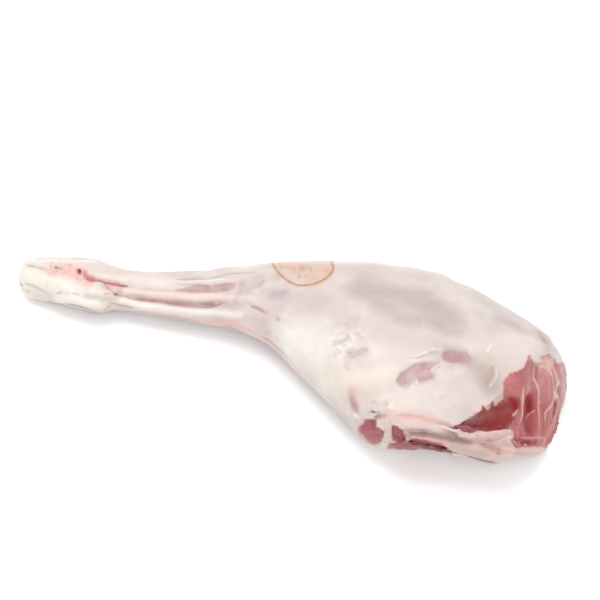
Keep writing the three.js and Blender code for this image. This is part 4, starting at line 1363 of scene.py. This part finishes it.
def flesh_grain(tree):
    """The height of the fine grain and of the small wrinkles, which run along the leg."""
    grain = combined(tree, noise_at(tree, 800, 3, GRAIN_STRETCH), GRAIN_SHARE, "MULTIPLY")
    wrinkle = combined(tree, noise_at(tree, 240, 3, WRINKLE_STRETCH), WRINKLE_SHARE, "MULTIPLY")
    return combined(tree, grain, wrinkle)


# %% The flesh material
FLESH = {
    "Roughness": 0.42,
    "Subsurface Weight": 0.35,
    "Subsurface Radius": (1.0, 0.45, 0.3),
    "Subsurface Scale": 0.0016,
    "Coat Weight": 0.06,
    "Coat Roughness": 0.25,
    "Specular IOR Level": 0.25,
}
flesh, tree, shader = new_material("flesh")
colour = mixed(tree, is_meat(tree), inked(tree, mottled_skin(tree)), fibrous_meat(tree))
finish(tree, shader, colour, flesh_grain(tree), bump=0.35, depth=0.6, values=FLESH)
leg.data.materials.append(flesh)
aitch.data.materials.append(flesh)

# %% [markdown]
# The hock is bone and gristle with hardly any meat on it. It is paler and more even than flesh, and
# light goes less red inside it, so it gets a material of its own. The flesh material would work as
# well, but it would give the bone the skin's streaks.

# %% The bone material
BONE = {
    "Roughness": 0.45,
    "Subsurface Weight": 0.25,
    "Subsurface Radius": (1.0, 0.7, 0.5),
    "Subsurface Scale": 0.002,
    "Coat Weight": 0.06,
    "Coat Roughness": 0.3,
    "Specular IOR Level": 0.25,
}
BONE_SHADE = (0.92, 0.88, 0.84, 1)
bone, tree, shader = new_material("bone")
mottle = ranged(tree, noise_at(tree, 350, 4), 0.4, 0.65, 0, 0.5)
colour = mixed(tree, mottle, stored(tree, "skin_colour", "Color"), BONE_SHADE, "MULTIPLY")
finish(tree, shader, colour, noise_at(tree, 900, 3), bump=0.3, depth=0.5, values=BONE)
hock.data.materials.append(bone)

# %% [markdown]
# Some strips stand a little free of the skin: a lobe of fat over the cut bone, a sinew at the
# corner of the cut, a fold between the two bare patches, and small bits of meat and fat that fill
# the gaps beside the bone. Each is a strip of its own. A flat grid is added and its rows are bent
# round a line, so that it becomes a closed, pointed strap. A curve with a bevel would give the same
# tube, but not one that is flat and pointed at the same time. After its line, a strap has its half
# width, its thickness, how far it is lifted off the skin, and its one or two colours.


# %% Lines for the straps, and which way is up on them
TREES = [search_tree(piece) for piece in PIECES]
NORMAL_ROUNDS = 12
STRAP_STEP = 1.0
GAP_PARTS = 20


def drawn(*corners):
    """A line of picture places laid on the pieces in small steps, for a strap."""
    return laid(list(corners), STRAP_STEP)


def across_gap(start, end):
    """A straight line in space between two picture places, for a strap that closes a gap."""
    return np.linspace(seen_at(*start), seen_at(*end), GAP_PARTS)


def unit(vectors):
    """The same directions with a length of 1."""
    return vectors / np.linalg.norm(vectors, axis=-1, keepdims=True)


def nearest_normal(point):
    """The normal of the nearest place on any piece."""
    found = [tree.find_nearest(Vector(point * MM)) for tree in TREES]
    return np.array(min(found, key=lambda hit: hit[3])[1])


def directions(line):
    """What is across and what is up at each point of a line."""
    along = unit(np.gradient(line, axis=0))
    normals = smoothed(np.array([nearest_normal(p) for p in line]), NORMAL_ROUNDS)
    across = unit(np.cross(along, normals))
    return across, np.cross(across, along)


# %% Bend a flat grid into a strap
SIDES = 12
SWELL = [(0.4, 5.0, 9)]
ROUGH_UP = [(0.25, 2.5, 16)]
ROUGH_ACROSS = [(0.3, 4.0, 18)]
END_ROOM, END_POWER = 1.001, 3


def bent(flat, line, half_width, thickness, lift):
    """Places for a grid's points, its rows bent into rings round a line, and each point's turn."""
    across, up = directions(line)
    rows = len(line)
    narrowing = END_ROOM - np.abs(np.linspace(-1, 1, rows)) ** END_POWER
    girth = np.sqrt(np.clip(narrowing, 0, 1)) * (1 + layered(line, SWELL))
    row = np.round((flat[:, 1] + 1) / 2 * (rows - 1)).astype(int)
    turn = math.pi * (flat[:, 0] + 1)
    ring = across[row] * (half_width * np.cos(turn))[:, None]
    ring += up[row] * (thickness * np.sin(turn))[:, None]
    points = line[row] + up[row] * lift + ring * girth[row][:, None]
    rough_up = up[row] * layered(points, ROUGH_UP)[:, None]
    rough_across = across[row] * layered(points, ROUGH_ACROSS)[:, None]
    return points + rough_up + rough_across, turn


def close_tube(piece):
    """Joins the seam and the ends of a bent grid and turns its faces outwards."""
    bpy.ops.object.mode_set(mode="EDIT")
    bpy.ops.mesh.select_all(action="SELECT")
    bpy.ops.mesh.remove_doubles(threshold=2 * DOUBLED * MM)
    bpy.ops.mesh.normals_make_consistent(inside=False)
    bpy.ops.object.mode_set(mode="OBJECT")
    bpy.ops.object.shade_smooth()


# %% A strap with a colour for each long side
LINE_ROUNDS = 6
NO_MEAT = -9.0
SIDE_NOISE = [(0.5, 4.0, 17)]


def strap(name, line, half_width, thickness, lift, upper, lower=None):
    """A pointed strap along a line, lifted off the skin by lift, with a colour for each long side."""
    line = smoothed(line, LINE_ROUNDS)
    bpy.ops.mesh.primitive_grid_add(x_subdivisions=SIDES, y_subdivisions=len(line) - 1, size=2)
    piece = bpy.context.object
    piece.name = name
    points, turn = bent(points_of(piece) * MM, line, half_width, thickness, lift)
    place_points(piece, points)
    side = np.cos(turn) + layered(points, SIDE_NOISE)
    store(piece, "skin_colour", tinted(plain(points, upper), lower or upper, 1, side, -0.7, 0.7))
    store(piece, "bare", np.full(len(points), NO_MEAT))
    close_tube(piece)
    piece.data.materials.append(flesh)
    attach(piece, "root")
    print(name, "is", round(float(np.linalg.norm(np.diff(line, axis=0), axis=1).sum())), "mm long")


# %% Straps at the end of the band
strap("band_tip_meat", across_gap((394, 425.5), (402, 446)), 5.0, 1.4, 0.2, "patch")
strap("band_tip_low", across_gap((399.5, 434), (405.5, 442.5)), 1.8, 1.1, 0.5, "patch")
# Its upper side is painted shadow under the band's edge; its lower side is dark meat.
strap("band_foot_meat", drawn((406, 441), (413, 442), (421, 443.4), (431, 444.6), (442, 448), (452, 452)),
      2.2, 0.9, 0.2, "band_meat_in_shade", "band_meat")

# %% Straps at the wedge and along the bone
strap("wedge_tip_meat", across_gap((453, 425.5), (476, 431)), 2.6, 1.0, 0.0, "patch")
strap("wedge_rim_meat", drawn((457, 427.3), (463, 424.3), (470, 421.3), (478, 417)),
      1.6, 0.8, 0.0, "meat_mauve")
strap("upper_fold", across_gap((438, 427), (478, 436.8)), 3.0, 1.0, -0.3, "blush", "band")
strap("bone_end_meat", across_gap((510, 440.5), (521, 445)), 2.8, 1.6, -0.6, "meat_mauve", "meat")
# The lobe's fat is pale above; its lower side is pink fat with painted shade.
strap("fat_lobe",
      drawn((463, 429.5), (469, 432.6), (477, 435.6), (487, 436), (498, 435), (507, 433.2), (513, 432.6)),
      3.4, 0.8, 0.0, "band", "lobe")
strap("lobe_edge", drawn((472, 433), (482, 433.8), (494, 432.8), (505, 430.6), (511, 430.4)),
      0.9, 0.7, 0.4, "blush")
# The same two colours: pale fat above, painted shade on the lower side.
strap("bone_end_fat", drawn((501, 440), (507, 441.3), (512, 443.5), (516, 446.5)),
      2.2, 0.8, 0.0, "band", "lobe")

# %% Straps at the corner of the cut and between the patches
# The sinew is pale; its lower side is painted shade.
strap("sinew_corner", drawn((495, 364), (494.7, 369), (496.3, 375), (493, 381), (488, 387.5)),
      1.5, 0.6, -0.15, "fell", "sand")
strap("patch_bridge", drawn((386, 418), (388.5, 426), (388, 435), (386, 444)), 2.6, 1.4, 0.2, "beige")

# %% [markdown]
# Each large piece takes the place of its solid. All of them ride on the one body of the leg, because
# meat on the bone has no joint that can be moved. The straps stand for no solid of their own, so they
# only ride along.

# %% The large pieces ride on the frame
STANDS_FOR = [(leg, "leg", "meat"), (hock, "hock_bone", "bone"), (aitch, "aitch_bone", "sawn_bone")]
for piece, node, slot in STANDS_FOR:
    only(piece)
    bpy.ops.object.shade_smooth()
    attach(piece, "root")
    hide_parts(node)
    print(piece.name, "stands for", node)

# %% [markdown]
# The picture was taken on a white table in very soft light, so the world is white. A round lamp
# above the far side gives the short shadow in front of the leg. A wider and weaker one in front
# keeps the near edge from getting dark. A small lamp would be simpler, but its shadow has a hard
# edge, and the picture shows none.

# %% The table
TABLE_SIZE = 6
TABLE_COLOUR = (0.925, 0.92, 0.925, 1)
bpy.ops.mesh.primitive_plane_add(size=TABLE_SIZE, location=(0, 0, 0))
table = bpy.context.object
table.name = "table"
table_material, tree, shader = new_material("table")
shader.inputs["Base Color"].default_value = TABLE_COLOUR
shader.inputs["Roughness"].default_value = 0.7
table.data.materials.append(table_material)
print("the table is", TABLE_SIZE, "metres wide")

# %% The light
SKY_STRENGTH = 1.02
world = bpy.data.worlds.new("world")
bpy.context.scene.world = world
world.use_nodes = True
sky = world.node_tree.nodes["Background"]
sky.inputs["Color"].default_value = (1, 1, 1, 1)
sky.inputs["Strength"].default_value = SKY_STRENGTH


def soft_lamp(name, place, width, watts):
    """A large round lamp that looks at the leg."""
    data = bpy.data.lights.new(name, "AREA")
    data.shape = "DISK"
    data.size = width
    data.energy = watts
    lamp = bpy.data.objects.new(name, data)
    lamp.location = place
    lamp.rotation_euler = (LOOK_AT - lamp.location).to_track_quat("-Z", "Y").to_euler()
    bpy.context.scene.collection.objects.link(lamp)
    print(name, "has", watts, "watts")


soft_lamp("lamp_above", (-0.35, 0.32, 1.5), 0.8, 11.5)
soft_lamp("lamp_in_front", (0.4, -0.9, 1.1), 1.4, 4.5)
bpy.context.scene.view_settings.view_transform = "Standard"

# %% [markdown]
